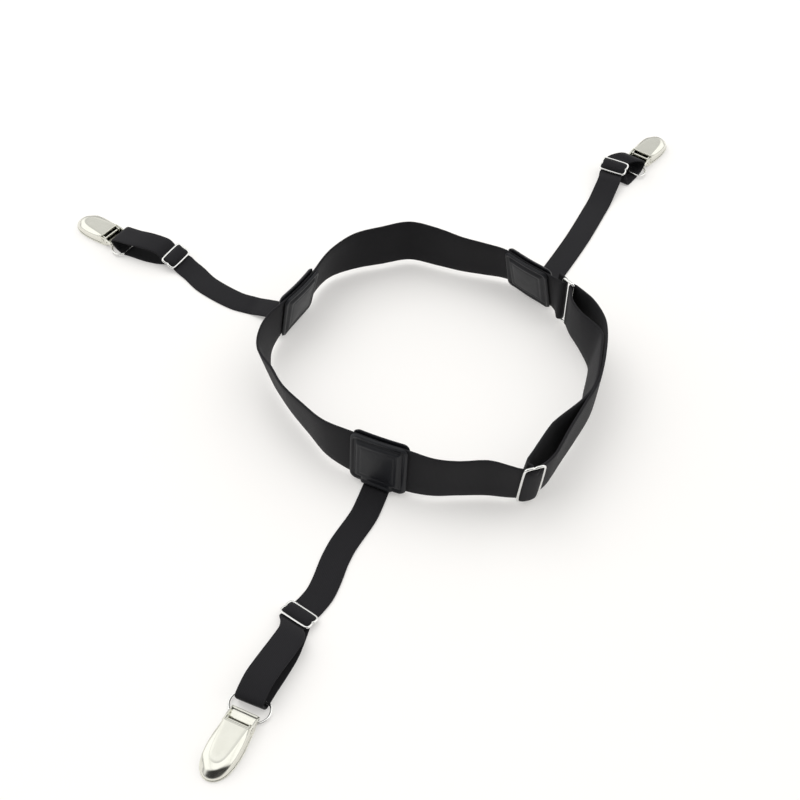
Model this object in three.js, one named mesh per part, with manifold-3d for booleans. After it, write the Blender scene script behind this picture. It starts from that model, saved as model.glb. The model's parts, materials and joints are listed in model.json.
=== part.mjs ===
// A shirt stay: an elastic thigh band with three elastic tails, each ending in a garter clip.
// It lies as it was put down: the band stands on edge in an open loop and the tails lie flat.
// Millimetres, +Z up. The origin is the middle of the underside.

import * as THREE from 'three';
import { mergeVertices } from 'three/addons/utils/BufferGeometryUtils.js';
import Module from 'manifold-3d';

const wasm = await Module();
wasm.setup();

// Webbing, leather and wire
const loopSpan = 196;
const bandWidth = 30;
const bandThick = 1.5;
const strapWidth = 15;
const strapThick = 1.0;
const patchSide = 33;
const patchCorner = 4;
const patchFlange = 4.6;
const leatherThick = 1.2;
const bandWire = 1.6;
const strapWire = 1.3;
const gap = 0.3;
const weaveGap = 0.25;
const sideGap = 0.6;
const layGap = 0.45;
const floorGap = 0.05;
const leafFlange = 0.08;
const innerLeafRise = 0.35;
const strapTop = 0.32;

// Wide slider, link, narrow sliders and D-rings
const wideSliderPitch = 5.6;
const narrowSliderPitch = 4.6;
const sliderNotch = 0.9;
const sliderCorner = 0.38;
const sliderPinch = 0.24;
const sliderNeck = 0.2;
const linkSpan = 7.8;
const linkCorner = 1.5;
const linkEnd = 0.7;
const ringWidth = 22.6;
const ringDepth = 12.5;
const ringBelly = 0.36;
const ringBar = 0.84;
const ringShoulder = 0.4;

// Clip
const clipWidth = 14.8;
const clipBelly = 17;
const clipLength = 28.2;
const clipHeight = 6.9;
const plateThick = 0.9;
const coverThick = 0.8;
const coverFall = 1.5;
const wallInset = 0.1;
const shoulderInset = 0.6;
const shoulderDrop = 1.2;
const topInset = 1.9;
const lugReach = 3.0;
const earThick = 0.9;
const earRun = 1.6;
const clipTail = 8.4;
const slotLength = 4.2;
const rearBarDepth = 1.2;
const rearBarHeight = 1.5;
const rearBarInset = 0.2;
const ringRoom = 1.3;
const earNose = 1.1;
const earCrown = 1.8;
const earHeel = 2.4;
const springHole = 1.0;
const springHoleBack = 1.6;
const springHoleDrop = 0.6;
const pinDiameter = 1.2;
const pinHeight = 4.2;
const pinBack = 1.3;
const jawWidth = 8.5;
const jawLength = 12;
const jawThick = 0.8;
const jawFront = 0.84;
const toothSink = 0.1;
const toothHeight = 1.0;
const toothCount = 5;

// Sizes that follow from those above
const patchFloorGap = strapThick + 2 * gap;
const bandLow = patchFloorGap + (patchSide - bandWidth) / 2;
const bandMid = bandLow + bandWidth / 2;
const bandBarClear = bandWire / 2 + layGap + bandThick / 2;
const bandWeave = bandWire / 2 + weaveGap + bandThick / 2;
const barClear = strapWire / 2 + gap + strapThick / 2;
const strapWeave = strapWire / 2 + weaveGap + strapThick / 2;
const panelRise = strapThick + layGap;

// The long way round of the band, anticlockwise from the link to the wide slider.
// Columns: x and y as shares of loopSpan, lean of the top edge outwards as a share of bandWidth,
// and the patch that is centred there.
const loopRoute = [
  [0.409, 0.224, -0.20],
  [0.345, 0.283, -0.24, 'right'],
  [0.283, 0.342, -0.24],
  [0.214, 0.368, -0.17],
  [0.143, 0.391, -0.10],
  [0.066, 0.426, 0.00],
  [-0.020, 0.455, 0.02],
  [-0.107, 0.433, 0.00],
  [-0.189, 0.407, -0.06],
  [-0.255, 0.363, -0.21],
  [-0.293, 0.313, -0.24],
  [-0.326, 0.240, -0.23],
  [-0.362, 0.176, -0.23, 'left'],
  [-0.401, 0.112, -0.18],
  [-0.434, 0.048, -0.03],
  [-0.445, -0.019, 0.13],
  [-0.437, -0.085, 0.22],
  [-0.401, -0.152, 0.18],
  [-0.365, -0.218, 0.21],
  [-0.311, -0.289, 0.15],
  [-0.256, -0.355, 0.05],
  [-0.181, -0.404, -0.08],
  [-0.107, -0.441, -0.10, 'front'],
  [-0.033, -0.472, -0.12],
  [0.036, -0.494, -0.02],
  [0.102, -0.498, 0.05],
  [0.179, -0.496, 0.03],
  [0.235, -0.508, 0.10],
];

// The outer layer of the doubled stretch, from the wide slider up the right side to the link.
const outerRoute = [
  [0.352, -0.464, 0.14],
  [0.398, -0.382, 0.10],
  [0.458, -0.278, 0.07],
  [0.497, -0.203, 0.08],
  [0.529, -0.093, 0.03],
  [0.543, -0.004, 0.00],
  [0.537, 0.053, 0.00],
  [0.512, 0.116, 0.00],
];

// The slack inner layer, from the link back to the middle bar of the wide slider.
const innerRoute = [
  [0.460, 0.109, -0.08],
  [0.482, 0.053, -0.06],
  [0.512, -0.009, 0.12],
  [0.515, -0.049, 0.16],
  [0.495, -0.126, 0.16],
  [0.461, -0.228, 0.06],
  [0.416, -0.308, -0.06],
  [0.367, -0.373, -0.12],
  [0.330, -0.427, -0.08],
  [0.301, -0.462, 0.02],
];

// Where the hardware of the band stands, in shares of loopSpan, and which way it faces.
const wideSlider = { x: 0.296, y: -0.515, lean: 0.165, heading: 18 };
const link = { x: 0.450, y: 0.178, heading: -50 };

// The tails. reach runs from the patch to the slider, barAhead from the patch to the D-ring's bar.
// Turns are degrees from the way the patch faces. rise is the height of the loop's top layer.
// route columns: ahead and aside as shares of reach, height as a share of sliderHeight.
// over and under columns: ahead and to the right as shares of the way from the slider to the bar
// (0 at the bar, -1 at the slider), height as a share of rise. farReach is how far the loop
// reaches past the bar. barLift raises the ring's bar and the strap under it.
const tails = {
  front: {
    reach: 92.5, sliderAside: -0.3, sliderHeight: 3.1, sliderTilt: 14, sliderTurn: -11.5,
    barAhead: 141.3, barAside: 1.4, ringTurn: 1.5, clipTurn: -1,
    rise: 9.5, farReach: 4.4, barLift: 0, end: 'floor', slide: 1,
    route: [[0.24, 0.019, 0], [0.37, 0.011, 0], [0.49, 0.002, 0], [0.61, 0.008, 0], [0.72, 0.024, 0],
      [0.83, 0.031, 0], [0.93, 0.014, 0.05]],
    over: [[-0.74, -0.05, 0.66], [-0.42, -0.03, 0.92], [-0.14, 0, 1.0]],
    under: [[-0.16, -0.01, 0], [-0.6, -0.04, 0]],
  },
  left: {
    reach: 96.6, sliderAside: -6.0, sliderHeight: 5.3, sliderTilt: 24, sliderTurn: 1,
    barAhead: 128.5, barAside: -1.7, ringTurn: -2, clipTurn: -6,
    rise: 10.5, farReach: 10.35, barLift: 0.4, end: 'rising', slide: 0,
    route: [[0.17, 0.004, 0.60], [0.32, 0.014, 0], [0.43, 0.035, 0], [0.56, 0.032, 0], [0.71, 0.011, 0],
      [0.82, -0.027, 0.02], [0.91, -0.05, 0.12]],
    over: [[-0.70, 0.03, 0.86], [-0.38, 0.01, 1.0], [-0.08, 0, 0.95]],
    under: [[-0.2, 0, 0.03], [-0.42, 0, 0], [-0.68, 0.02, 0.02], [-0.86, 0.03, 0.15]],
  },
  right: {
    reach: 132.6, sliderAside: 35.3, sliderHeight: 8.2, sliderTilt: 19, sliderTurn: 15.5,
    barAhead: 141.2, barAside: 29.7, ringTurn: 6, clipTurn: 6,
    rise: 10.0, farReach: 10.35, barLift: 0.4, end: 'hanging', slide: 0,
    route: [[0.16, 0.012, 0], [0.313, 0.046, 0], [0.506, 0.096, 0], [0.695, 0.155, 0], [0.78, 0.182, 0.06],
      [0.858, 0.210, 0.28], [0.925, 0.234, 0.56]],
    over: [[-0.31, -0.48, 0.92], [0.17, -0.42, 1.0]],
    under: [[-0.30, 0.24, 0.02], [-0.58, 0.46, 0], [-0.80, 0.62, 0.03], [-0.90, 0.66, 0.16],
      [-0.88, 0.48, 0.30]],
  },
};

// The loop's turn past the D-ring's bar. Columns: ahead of the bar as a share of farReach, height
// as a share of rise, and the share of barLift that is added.
const farTurnRows = [
  [0.80, 0.80, 0],
  [0.90, 0.52, 0],
  [0.66, 0.19, 1],
  [0.32, 0.03, 1],
  [0, 0, 1],
];

const up = new THREE.Vector3(0, 0, 1);
const rad = THREE.MathUtils.degToRad;
const v2 = (x, y) => new THREE.Vector2(x, y);
const v3 = (x, y, z) => new THREE.Vector3(x, y, z);
const headingOf = (degrees) => v2(Math.cos(rad(degrees)), Math.sin(rad(degrees)));
const rightOf = (direction) => v2(direction.y, -direction.x);

const materials = {
  webbing: { color: 0x1d1d20, roughness: 0.85, metalness: 0 },
  leather: { color: 0x17171a, roughness: 0.5, metalness: 0 },
  wire: { color: 0xd4d3ce, roughness: 0.2, metalness: 1 },
  nickel: { color: 0xcfcdc2, roughness: 0.24, metalness: 1 },
};

const stay = new THREE.Group();

function piece(name, geometry, finish, parent = stay) {
  geometry.computeVertexNormals();
  const mesh = new THREE.Mesh(geometry, new THREE.MeshStandardMaterial(materials[finish]));
  mesh.name = name;
  parent.add(mesh);
  return mesh;
}

// A closed body from rings of points. Each ring is convex and the rings follow one another.
function loft(rings, closed = false) {
  const count = rings[0].length;
  const positions = rings.flat().flatMap((p) => [p.x, p.y, p.z]);
  const index = [];
  const spans = closed ? rings.length : rings.length - 1;
  for (let i = 0; i < spans; i += 1) {
    const a = i * count;
    const b = ((i + 1) % rings.length) * count;
    for (let k = 0; k < count; k += 1) {
      const next = (k + 1) % count;
      index.push(a + k, a + next, b + next, a + k, b + next, b + k);
    }
  }
  if (!closed) {
    const last = (rings.length - 1) * count;
    for (let k = 1; k < count - 1; k += 1) {
      index.push(0, k + 1, k, last, last + k, last + k + 1);
    }
  }
  const geometry = new THREE.BufferGeometry();
  geometry.setAttribute('position', new THREE.Float32BufferAttribute(positions, 3));
  geometry.setIndex(index);
  return geometry;
}

// A closed body between two grids of points that face away from each other.
function slab(front, back) {
  const rows = front.length;
  const columns = front[0].length;
  const positions = [...front.flat(), ...back.flat()].flatMap((p) => [p.x, p.y, p.z]);
  const at = (side, i, j) => side * rows * columns + i * columns + j;
  const index = [];
  for (let i = 0; i < rows - 1; i += 1) {
    for (let j = 0; j < columns - 1; j += 1) {
      const f = [at(0, i, j), at(0, i + 1, j), at(0, i + 1, j + 1), at(0, i, j + 1)];
      const b = [at(1, i, j), at(1, i + 1, j), at(1, i + 1, j + 1), at(1, i, j + 1)];
      index.push(f[0], f[1], f[2], f[0], f[2], f[3]);
      index.push(b[0], b[2], b[1], b[0], b[3], b[2]);
    }
  }
  const border = [];
  for (let i = 0; i < rows; i += 1) border.push([i, 0]);
  for (let j = 1; j < columns; j += 1) border.push([rows - 1, j]);
  for (let i = rows - 2; i >= 0; i -= 1) border.push([i, columns - 1]);
  for (let j = columns - 2; j > 0; j -= 1) border.push([0, j]);
  border.forEach(([i, j], k) => {
    const [m, n] = border[(k + 1) % border.length];
    index.push(at(0, i, j), at(1, i, j), at(1, m, n), at(0, i, j), at(1, m, n), at(0, m, n));
  });
  const geometry = new THREE.BufferGeometry();
  geometry.setAttribute('position', new THREE.Float32BufferAttribute(positions, 3));
  geometry.setIndex(index);
  return geometry;
}

// Turns a body inside out where its volume came out negative.
function faceOut(geometry) {
  const p = geometry.attributes.position;
  const index = geometry.index.array;
  const [a, b, c] = [v3(0, 0, 0), v3(0, 0, 0), v3(0, 0, 0)];
  let volume = 0;
  for (let i = 0; i < index.length; i += 3) {
    a.fromBufferAttribute(p, index[i]);
    b.fromBufferAttribute(p, index[i + 1]);
    c.fromBufferAttribute(p, index[i + 2]);
    volume += a.dot(b.cross(c));
  }
  if (volume < 0) {
    for (let i = 0; i < index.length; i += 3) {
      [index[i + 1], index[i + 2]] = [index[i + 2], index[i + 1]];
    }
  }
  return geometry;
}

function toSolid(geometry) {
  const bare = geometry.clone();
  bare.deleteAttribute('normal');
  bare.deleteAttribute('uv');
  const merged = faceOut(mergeVertices(bare));
  return new wasm.Manifold(new wasm.Mesh({
    numProp: 3,
    vertProperties: merged.attributes.position.array,
    triVerts: Uint32Array.from(merged.index.array),
  }));
}

function toGeometry(solid) {
  const mesh = solid.getMesh();
  const geometry = new THREE.BufferGeometry();
  geometry.setAttribute('position', new THREE.BufferAttribute(mesh.vertProperties, 3));
  geometry.setIndex(new THREE.BufferAttribute(mesh.triVerts, 1));
  return geometry;
}

const fuse = (geometries) => toGeometry(geometries.map(toSolid).reduce((all, one) => all.add(one)));
const cut = (geometry, tool) => toGeometry(toSolid(geometry).subtract(toSolid(tool)));

// Webbing along path points. Each has a place p and a direction wide, along its width.
function ribbon(path, width, thick) {
  const rings = path.map((here, i) => {
    const before = path[Math.max(i - 1, 0)].p;
    const after = path[Math.min(i + 1, path.length - 1)].p;
    const along = v3(0, 0, 0).subVectors(after, before).normalize();
    const face = v3(0, 0, 0).crossVectors(along, here.wide).normalize();
    return [[1, 1], [-1, 1], [-1, -1], [1, -1]].map(([w, t]) => here.p.clone()
      .addScaledVector(here.wide, (w * width) / 2)
      .addScaledVector(face, (t * thick) / 2));
  });
  return faceOut(loft(rings));
}

// A closed wire through points of the local xy plane, round in section.
function wireFrame(points, diameter, sides) {
  const count = points.length;
  const rings = points.map((p, i) => {
    const along = points[(i + 1) % count].clone().sub(points[(i + count - 1) % count]).normalize();
    const side = v3(0, 0, 0).crossVectors(along, up).normalize();
    return Array.from({ length: sides }, (_, k) => {
      const angle = (2 * Math.PI * (k + 0.5)) / sides;
      return p.clone()
        .addScaledVector(side, (Math.cos(angle) * diameter) / 2)
        .addScaledVector(up, (Math.sin(angle) * diameter) / 2);
    });
  });
  return faceOut(loft(rings, true));
}

// Points on an arc: centre, two directions, radius and angles in degrees.
function arc(centre, first, second, radius, from, to, steps) {
  return Array.from({ length: steps + 1 }, (_, i) => {
    const angle = rad(from + ((to - from) * i) / steps);
    return centre.clone()
      .addScaledVector(first, radius * Math.cos(angle))
      .addScaledVector(second, radius * Math.sin(angle));
  });
}

// The way of webbing over and under the three bars of a slider, past bar one and bar three on the
// side of below. forward runs from bar one to bar three.
function weave(centre, forward, below, pitch, clear) {
  const slope = THREE.MathUtils.radToDeg(Math.asin((2 * clear) / pitch));
  const bar = (k) => centre.clone().addScaledVector(forward, k * pitch);
  const above = below.clone().negate();
  return [
    ...arc(bar(-1), below, forward, clear, 0, slope, 2),
    ...arc(bar(0), above, forward, clear, -slope, slope, 4),
    ...arc(bar(1), below, forward, clear, -slope, 0, 2),
  ];
}

function curve(points, stepsPerSpan) {
  const spline = new THREE.CatmullRomCurve3(points, false, 'catmullrom', 0.5);
  return spline.getPoints(stepsPerSpan * (points.length - 1));
}

// The thigh band. A path point of the plan is x, y and, in place of z, the lean in shares.
const flat = ([x, y, lean]) => v3(x * loopSpan, y * loopSpan, lean);
const onPlan = (direction) => v3(direction.x, direction.y, 0);
const planPoint = (spot) => v3(spot.x * loopSpan, spot.y * loopSpan, 0);

const sliderForward = onPlan(headingOf(wideSlider.heading));
const sliderInward = onPlan(rightOf(headingOf(wideSlider.heading)).negate());
const sliderUp = sliderInward.clone().multiplyScalar(-wideSlider.lean)
  .addScaledVector(up, Math.sqrt(1 - wideSlider.lean ** 2));
const linkForward = onPlan(headingOf(link.heading));
const linkOut = onPlan(rightOf(headingOf(link.heading)).negate());
const barA = planPoint(link).addScaledVector(linkForward, -linkSpan / 2);
const barB = planPoint(link).addScaledVector(linkForward, linkSpan / 2);
const sliderSpot = planPoint(wideSlider).setZ(wideSlider.lean);

function bandPath() {
  const weaveWay = weave(sliderSpot, sliderForward, sliderInward, wideSliderPitch, bandWeave);
  const turnA = arc(barA, linkOut, linkForward, bandBarClear, 0, 180, 6);
  const turnB = arc(barB, linkOut, linkForward.clone().negate(), bandBarClear, 0, 180, 6);
  const tailEnd = turnA[0].clone().addScaledVector(linkForward, -linkSpan * linkEnd)
    .addScaledVector(linkOut, weaveGap);
  const run = (before, route, after, steps) => curve([before, ...route, after], steps).slice(1, -1);
  const nearSlider = (ahead, inwards) => sliderSpot.clone().addScaledVector(sliderForward, ahead)
    .addScaledVector(sliderInward, inwards);
  const pocket = [[-0.45, 1.1], [-0.1, 0.6]]
    .map(([ahead, inwards]) => nearSlider(ahead * wideSliderPitch, inwards * wideSliderPitch));
  const last = nearSlider(0, bandWire / 2 + gap);
  const plan = [
    tailEnd,
    ...turnA,
    ...run(turnA.at(-1), loopRoute.map(flat), weaveWay[0], 3),
    ...weaveWay,
    ...run(weaveWay.at(-1), outerRoute.map(flat), turnB[0], 2),
    ...turnB,
    ...run(turnB.at(-1), [...innerRoute.map(flat), ...pocket], last, 2),
    last,
  ];
  const innerStart = plan.length - 1 - 2 * (innerRoute.length + pocket.length + 1);
  const weaveStart = plan.indexOf(weaveWay[0]);
  const atSlider = (i) => (i >= weaveStart && i < weaveStart + weaveWay.length)
    || i >= plan.length - 2 * pocket.length;
  return plan.map((p, i) => {
    const before = plan[Math.max(i - 1, 0)];
    const after = plan[Math.min(i + 1, plan.length - 1)];
    const ahead = v2(after.x - before.x, after.y - before.y).normalize();
    const outward = onPlan(rightOf(ahead)).multiplyScalar(i > innerStart ? -1 : 1);
    const wide = outward.multiplyScalar(p.z).addScaledVector(up, Math.sqrt(1 - p.z * p.z));
    return { p: v3(p.x, p.y, bandMid), wide: atSlider(i) ? sliderUp : wide, ahead };
  });
}
const band = bandPath();
piece('thigh_band', ribbon(band, bandWidth, bandThick), 'webbing');

// A wire frame of a slider: long bars at +-pitch along local y, pinched ends that carry the middle
// bar along local x.
function sliderFrame(clearWidth, pitch, diameter, sides) {
  const half = clearWidth / 2 + sideGap + diameter / 2;
  const corner = pitch * sliderCorner;
  const waist = half - sliderNotch;
  const pinch = pitch * sliderPinch;
  const neck = diameter * sliderNeck;
  const quarter = (sx, sy, from, to) => arc(
    v3(sx * (half - corner), sy * (pitch - corner), 0),
    v3(1, 0, 0),
    v3(0, 1, 0),
    corner,
    from,
    to,
    3,
  );
  const outline = [
    ...quarter(1, -1, -90, 0),
    v3(half, -pinch, 0),
    v3(waist, -neck, 0),
    v3(waist, neck, 0),
    v3(half, pinch, 0),
    ...quarter(1, 1, 0, 90),
    ...quarter(-1, 1, 90, 180),
    v3(-half, pinch, 0),
    v3(-waist, neck, 0),
    v3(-waist, -neck, 0),
    v3(-half, -pinch, 0),
    ...quarter(-1, -1, 180, 270),
  ];
  const frame = wireFrame(outline, diameter, sides);
  const bar = new THREE.CylinderGeometry(diameter / 2, diameter / 2, 2 * waist, sides);
  bar.rotateZ(Math.PI / 2);
  return fuse([frame, bar]);
}

function rectangleFrame(width, height, corner, diameter, sides) {
  const quarter = (sx, sy, from) => arc(
    v3((sx * width) / 2 - sx * corner, (sy * height) / 2 - sy * corner, 0),
    v3(1, 0, 0),
    v3(0, 1, 0),
    corner,
    from,
    from + 90,
    3,
  );
  return wireFrame(
    [...quarter(1, -1, -90), ...quarter(1, 1, 0), ...quarter(-1, 1, 90), ...quarter(-1, -1, 180)],
    diameter,
    sides,
  );
}

// Sets a mesh so that its local x, y and z lie along three directions.
function orient(object, place, x, y) {
  const z = v3(0, 0, 0).crossVectors(x, y);
  object.quaternion.setFromRotationMatrix(new THREE.Matrix4().makeBasis(x, y, z));
  object.position.copy(place);
}

const slider = piece('band_slider', sliderFrame(bandWidth, wideSliderPitch, bandWire, 8), 'wire');
orient(slider, sliderSpot.clone().setZ(bandMid), sliderUp, sliderForward);

const linkHeight = bandWidth + 2 * layGap + bandWire;
const ring = piece('band_ring', rectangleFrame(linkSpan, linkHeight, linkCorner, bandWire, 8), 'wire');
orient(ring, planPoint(link).setZ(bandMid), linkForward, up);

// Patches: an outer and an inner leaf over the band, rounded at the corners, with a raised panel.
function patchSpot(side) {
  const spot = flat(loopRoute.find((row) => row[3] === side));
  let best = 0;
  band.forEach((b, i) => {
    if (Math.hypot(b.p.x - spot.x, b.p.y - spot.y) < Math.hypot(
      band[best].p.x - spot.x,
      band[best].p.y - spot.y,
    )) best = i;
  });
  return best;
}

// The band's surface at a signed distance along it from a path point.
function bandAt(start, distance) {
  let i = start;
  let left = Math.abs(distance);
  const step = Math.sign(distance) || 1;
  let span = band[i].p.distanceTo(band[i + step].p);
  while (left > span) {
    left -= span;
    i += step;
    span = band[i].p.distanceTo(band[i + step].p);
  }
  const share = left / span;
  const p = band[i].p.clone().lerp(band[i + step].p, share);
  const wide = band[i].wide.clone().lerp(band[i + step].wide, share).normalize();
  const ahead = band[i].ahead.clone().lerp(band[i + step].ahead, share).normalize();
  const face = v3(0, 0, 0).crossVectors(v3(ahead.x, ahead.y, 0), wide).normalize();
  return { p, wide, face, ahead };
}

function leaf(start, outwards) {
  const half = patchSide / 2;
  const panel = 1 - patchFlange / half;
  const channel = (strapWidth / 2 + gap) / half;
  const rise = (u, v) => {
    const inside = Math.max(Math.abs(u), Math.abs(v)) < panel + leafFlange / 2;
    const inChannel = outwards > 0 && Math.abs(u) <= channel && v < 0;
    return inside || inChannel ? panelRise : 0;
  };
  const step = panel + leafFlange;
  const lines = [-1, -step, -panel, -channel, 0, channel, panel, step, 1];
  const grid = (offset) => lines.map((u) => {
    const spot = bandAt(start, u * half);
    const round = Math.max(0, Math.abs(u) * half - (half - patchCorner));
    const height = half - patchCorner + Math.sqrt(patchCorner ** 2 - round ** 2);
    return lines.map((v) => {
      const lift = rise(u, v) * (outwards > 0 ? 1 : innerLeafRise);
      return spot.p.clone()
        .addScaledVector(spot.wide, v * height)
        .addScaledVector(spot.face, outwards * (bandThick / 2 + layGap + lift + offset));
    });
  });
  return faceOut(slab(grid(leatherThick), grid(0)));
}

// One tail: the strap, its slider, its D-ring and its clip.
function tailFrame(side) {
  const tail = tails[side];
  const start = patchSpot(side);
  const spot = bandAt(start, 0);
  const ahead = rightOf(spot.ahead);
  const facing = THREE.MathUtils.radToDeg(Math.atan2(ahead.y, ahead.x));
  const place = (along, aside, z) => v3(
    spot.p.x + ahead.x * along + spot.ahead.x * aside,
    spot.p.y + ahead.y * along + spot.ahead.y * aside,
    z,
  );
  return { tail, start, spot, facing, place };
}

const strapLow = strapThick / 2;
const bendRadius = strapThick / 2 + sideGap;
const ringPulled = -(clipTail - rearBarDepth - gap - strapWire / 2);
const ringSlide = slotLength - 2 * gap - strapWire;
const apexHeight = strapWire / 2 + floorGap;
const liftClear = (p) => p.setZ(Math.max(p.z, strapLow));

function strapPath(side) {
  const { tail, start, spot, facing, place } = tailFrame(side);
  const across = (degrees) => onPlan(rightOf(headingOf(degrees)).negate());
  const lay = spot.face.clone().multiplyScalar(bandThick / 2 + layGap + strapThick / 2);
  const inPatch = (share) => spot.p.clone().add(lay).addScaledVector(spot.wide, share * patchSide);
  const out = onPlan(headingOf(facing));
  const lean = THREE.MathUtils.radToDeg(Math.atan2(-spot.wide.dot(out), spot.wide.z));
  const footHeight = strapLow + bendRadius * (1 - Math.sin(rad(lean)));
  const foot = (footHeight - bandMid - lay.z) / spot.wide.z / patchSide;
  const bottom = inPatch(foot);
  const bendCentre = bottom.clone().addScaledVector(out, bendRadius * Math.cos(rad(lean)))
    .setZ(strapLow + bendRadius);
  const bend = arc(bendCentre, out.clone().negate(), up.clone().negate(), bendRadius, lean, 90, 4);
  const startWide = across(facing);

  const sliderCentre = place(tail.reach, tail.sliderAside, tail.sliderHeight);
  const sliderHeading = onPlan(headingOf(facing + tail.sliderTurn));
  const forward = sliderHeading.clone().multiplyScalar(Math.cos(rad(tail.sliderTilt)))
    .addScaledVector(up, Math.sin(rad(tail.sliderTilt)));
  const below = v3(0, 0, 0).crossVectors(forward, across(facing + tail.sliderTurn)).normalize();
  if (below.z > 0) below.negate();
  const weaveWay = weave(sliderCentre, forward, below, narrowSliderPitch, strapWeave);

  const routePoints = tail.route.map(([ahead, aside, height]) => place(
    ahead * tail.reach,
    aside * tail.reach,
    strapLow + height * tail.sliderHeight,
  ));
  const arrive = weaveWay[0].clone().addScaledVector(forward, -strapWire);
  const leave = weaveWay.at(-1).clone().addScaledVector(forward, strapWire);
  const floorRun = curve([bend.at(-1), ...routePoints, arrive, weaveWay[0]], 2)
    .slice(1, -1)
    .map(liftClear);

  const ringHeading = headingOf(facing + tail.ringTurn);
  const barHeight = strapLow + tail.barLift + barClear;
  const bar = place(tail.barAhead, tail.barAside, barHeight);
  const toBar = v2(bar.x - sliderCentre.x, bar.y - sliderCentre.y);
  const toRight = rightOf(toBar);
  const fromRow = ([along, aside, height]) => v3(
    bar.x + toBar.x * along + toRight.x * aside,
    bar.y + toBar.y * along + toRight.y * aside,
    strapLow + height * tail.rise,
  );
  const farTurn = farTurnRows.map(([ahead, height, lifted]) => v3(
    bar.x + ringHeading.x * ahead * tail.farReach,
    bar.y + ringHeading.y * ahead * tail.farReach,
    strapLow + height * tail.rise + lifted * tail.barLift,
  ));
  const underBar = (distance) => sliderCentre.clone().addScaledVector(below, distance);
  const endRows = {
    floor: [underBar(strapWire / 2 + gap + strapThick / 2).setZ(strapLow)],
    rising: [underBar(strapWire / 2 + gap + strapThick / 2)],
    hanging: [underBar(strapWire / 2 + gap + 1.6), underBar(strapWire / 2 + gap)],
  };
  const loopRows = [
    weaveWay.at(-1),
    leave,
    ...tail.over.map(fromRow),
    ...farTurn,
    ...tail.under.map(fromRow),
    ...endRows[tail.end],
  ];
  const loopRun = curve(loopRows, 2).slice(1).map(liftClear);

  const turnAt = (p) => {
    const span = sliderCentre.distanceTo(bar);
    const share = THREE.MathUtils.clamp(p.distanceTo(sliderCentre) / span, 0, 1);
    return across(facing + THREE.MathUtils.lerp(tail.sliderTurn, tail.ringTurn, share));
  };
  const path = [
    { p: inPatch(strapTop), wide: startWide },
    { p: inPatch((strapTop + foot) / 2), wide: startWide },
    ...bend.map((p) => ({ p, wide: startWide })),
  ];
  floorRun.forEach((p, i) => {
    const before = i > 0 ? floorRun[i - 1] : bend.at(-1);
    const after = floorRun[i + 1] || weaveWay[0];
    const ahead = v2(after.x - before.x, after.y - before.y).normalize();
    path.push({ p, wide: onPlan(rightOf(ahead).negate()) });
  });
  const sliderWide = across(facing + tail.sliderTurn);
  path.push(...weaveWay.map((p) => ({ p, wide: sliderWide })));
  path.push(...loopRun.map((p) => ({ p, wide: turnAt(p) })));
  return { path, sliderCentre, forward, sliderWide, bar, ringHeading, facing, tail };
}

// A D-ring: its straight bar lies along local x through the origin. Its bow widens to a belly and
// reaches to +y.
function dRing() {
  const half = (ringWidth - strapWire) / 2;
  const belly = ringDepth * ringBelly;
  const below = belly / Math.sqrt(1 - ringBar ** 2);
  const foot = THREE.MathUtils.radToDeg(Math.acos(ringBar));
  const bow = arc(v3(0, 0, 0), v3(1, 0, 0), v3(0, 1, 0), 1, -foot, 180 + foot, 18)
    .map((p) => v3(half * p.x, belly + p.y * (p.y > 0 ? ringDepth - belly : below), 0));
  const barEnd = half * ringBar - strapWire * ringShoulder;
  return wireFrame([v3(-barEnd, 0, 0), v3(barEnd, 0, 0), ...bow], strapWire, 6);
}

// The clip's local frame: y forwards to the tip with 0 at the cover's rear edge, x across, z up.
// The outline of the cover and of the tongue below it, in halves from the rear edge to the tip.
const clipOutline = [
  [0.50, 0.00],
  [0.53, 0.12],
  [0.565, 0.28],
  [0.574, 0.42],
  [0.566, 0.56],
  [0.53, 0.70],
  [0.45, 0.83],
  [0.32, 0.93],
  [0.16, 0.985],
  [0.0, 1.0],
];

function clipRing(inset, height, rear = 0) {
  const bellyScale = clipBelly / (clipWidth * 0.574 * 2);
  const halfWidth = ([x]) => {
    const wide = x * clipWidth;
    return x > 0.5 ? clipWidth / 2 + (wide - clipWidth / 2) * bellyScale : wide;
  };
  const points = clipOutline.map((row) => {
    const x = halfWidth(row);
    const y = row[1] * clipLength;
    const shrink = 1 - inset / (clipWidth / 2);
    return v3(x * shrink, rear + (y * (clipLength - inset - rear)) / clipLength, height(y));
  });
  const mirrored = points.slice(0, -1).reverse().map((p) => v3(-p.x, p.y, p.z));
  return [...points, ...mirrored];
}

const earTop = clipHeight - coverThick - gap;
const rearBarLow = strapWire + gap + ringRoom;
const innerWidth = clipWidth / 2 - earThick;
const plateRear = -(clipTail - rearBarDepth - slotLength);

// An extrusion of a side view: the shape's x runs along local y and its y up.
function sidePlate(shape, from, depth) {
  const plate = new THREE.ExtrudeGeometry(shape, { depth, bevelEnabled: false, curveSegments: 5 });
  plate.applyMatrix4(new THREE.Matrix4().makeBasis(v3(0, 1, 0), v3(0, 0, 1), v3(1, 0, 0)));
  plate.translate(from, 0, 0);
  return plate;
}

function roundHole(shape, y, z, radius) {
  const hole = new THREE.Path();
  hole.absarc(y, z, radius, 0, 2 * Math.PI, true);
  shape.holes.push(hole);
}

function boxBetween(low, high) {
  const block = new THREE.BoxGeometry(high.x - low.x, high.y - low.y, high.z - low.z);
  block.translate((low.x + high.x) / 2, (low.y + high.y) / 2, (low.z + high.z) / 2);
  return block;
}

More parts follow.
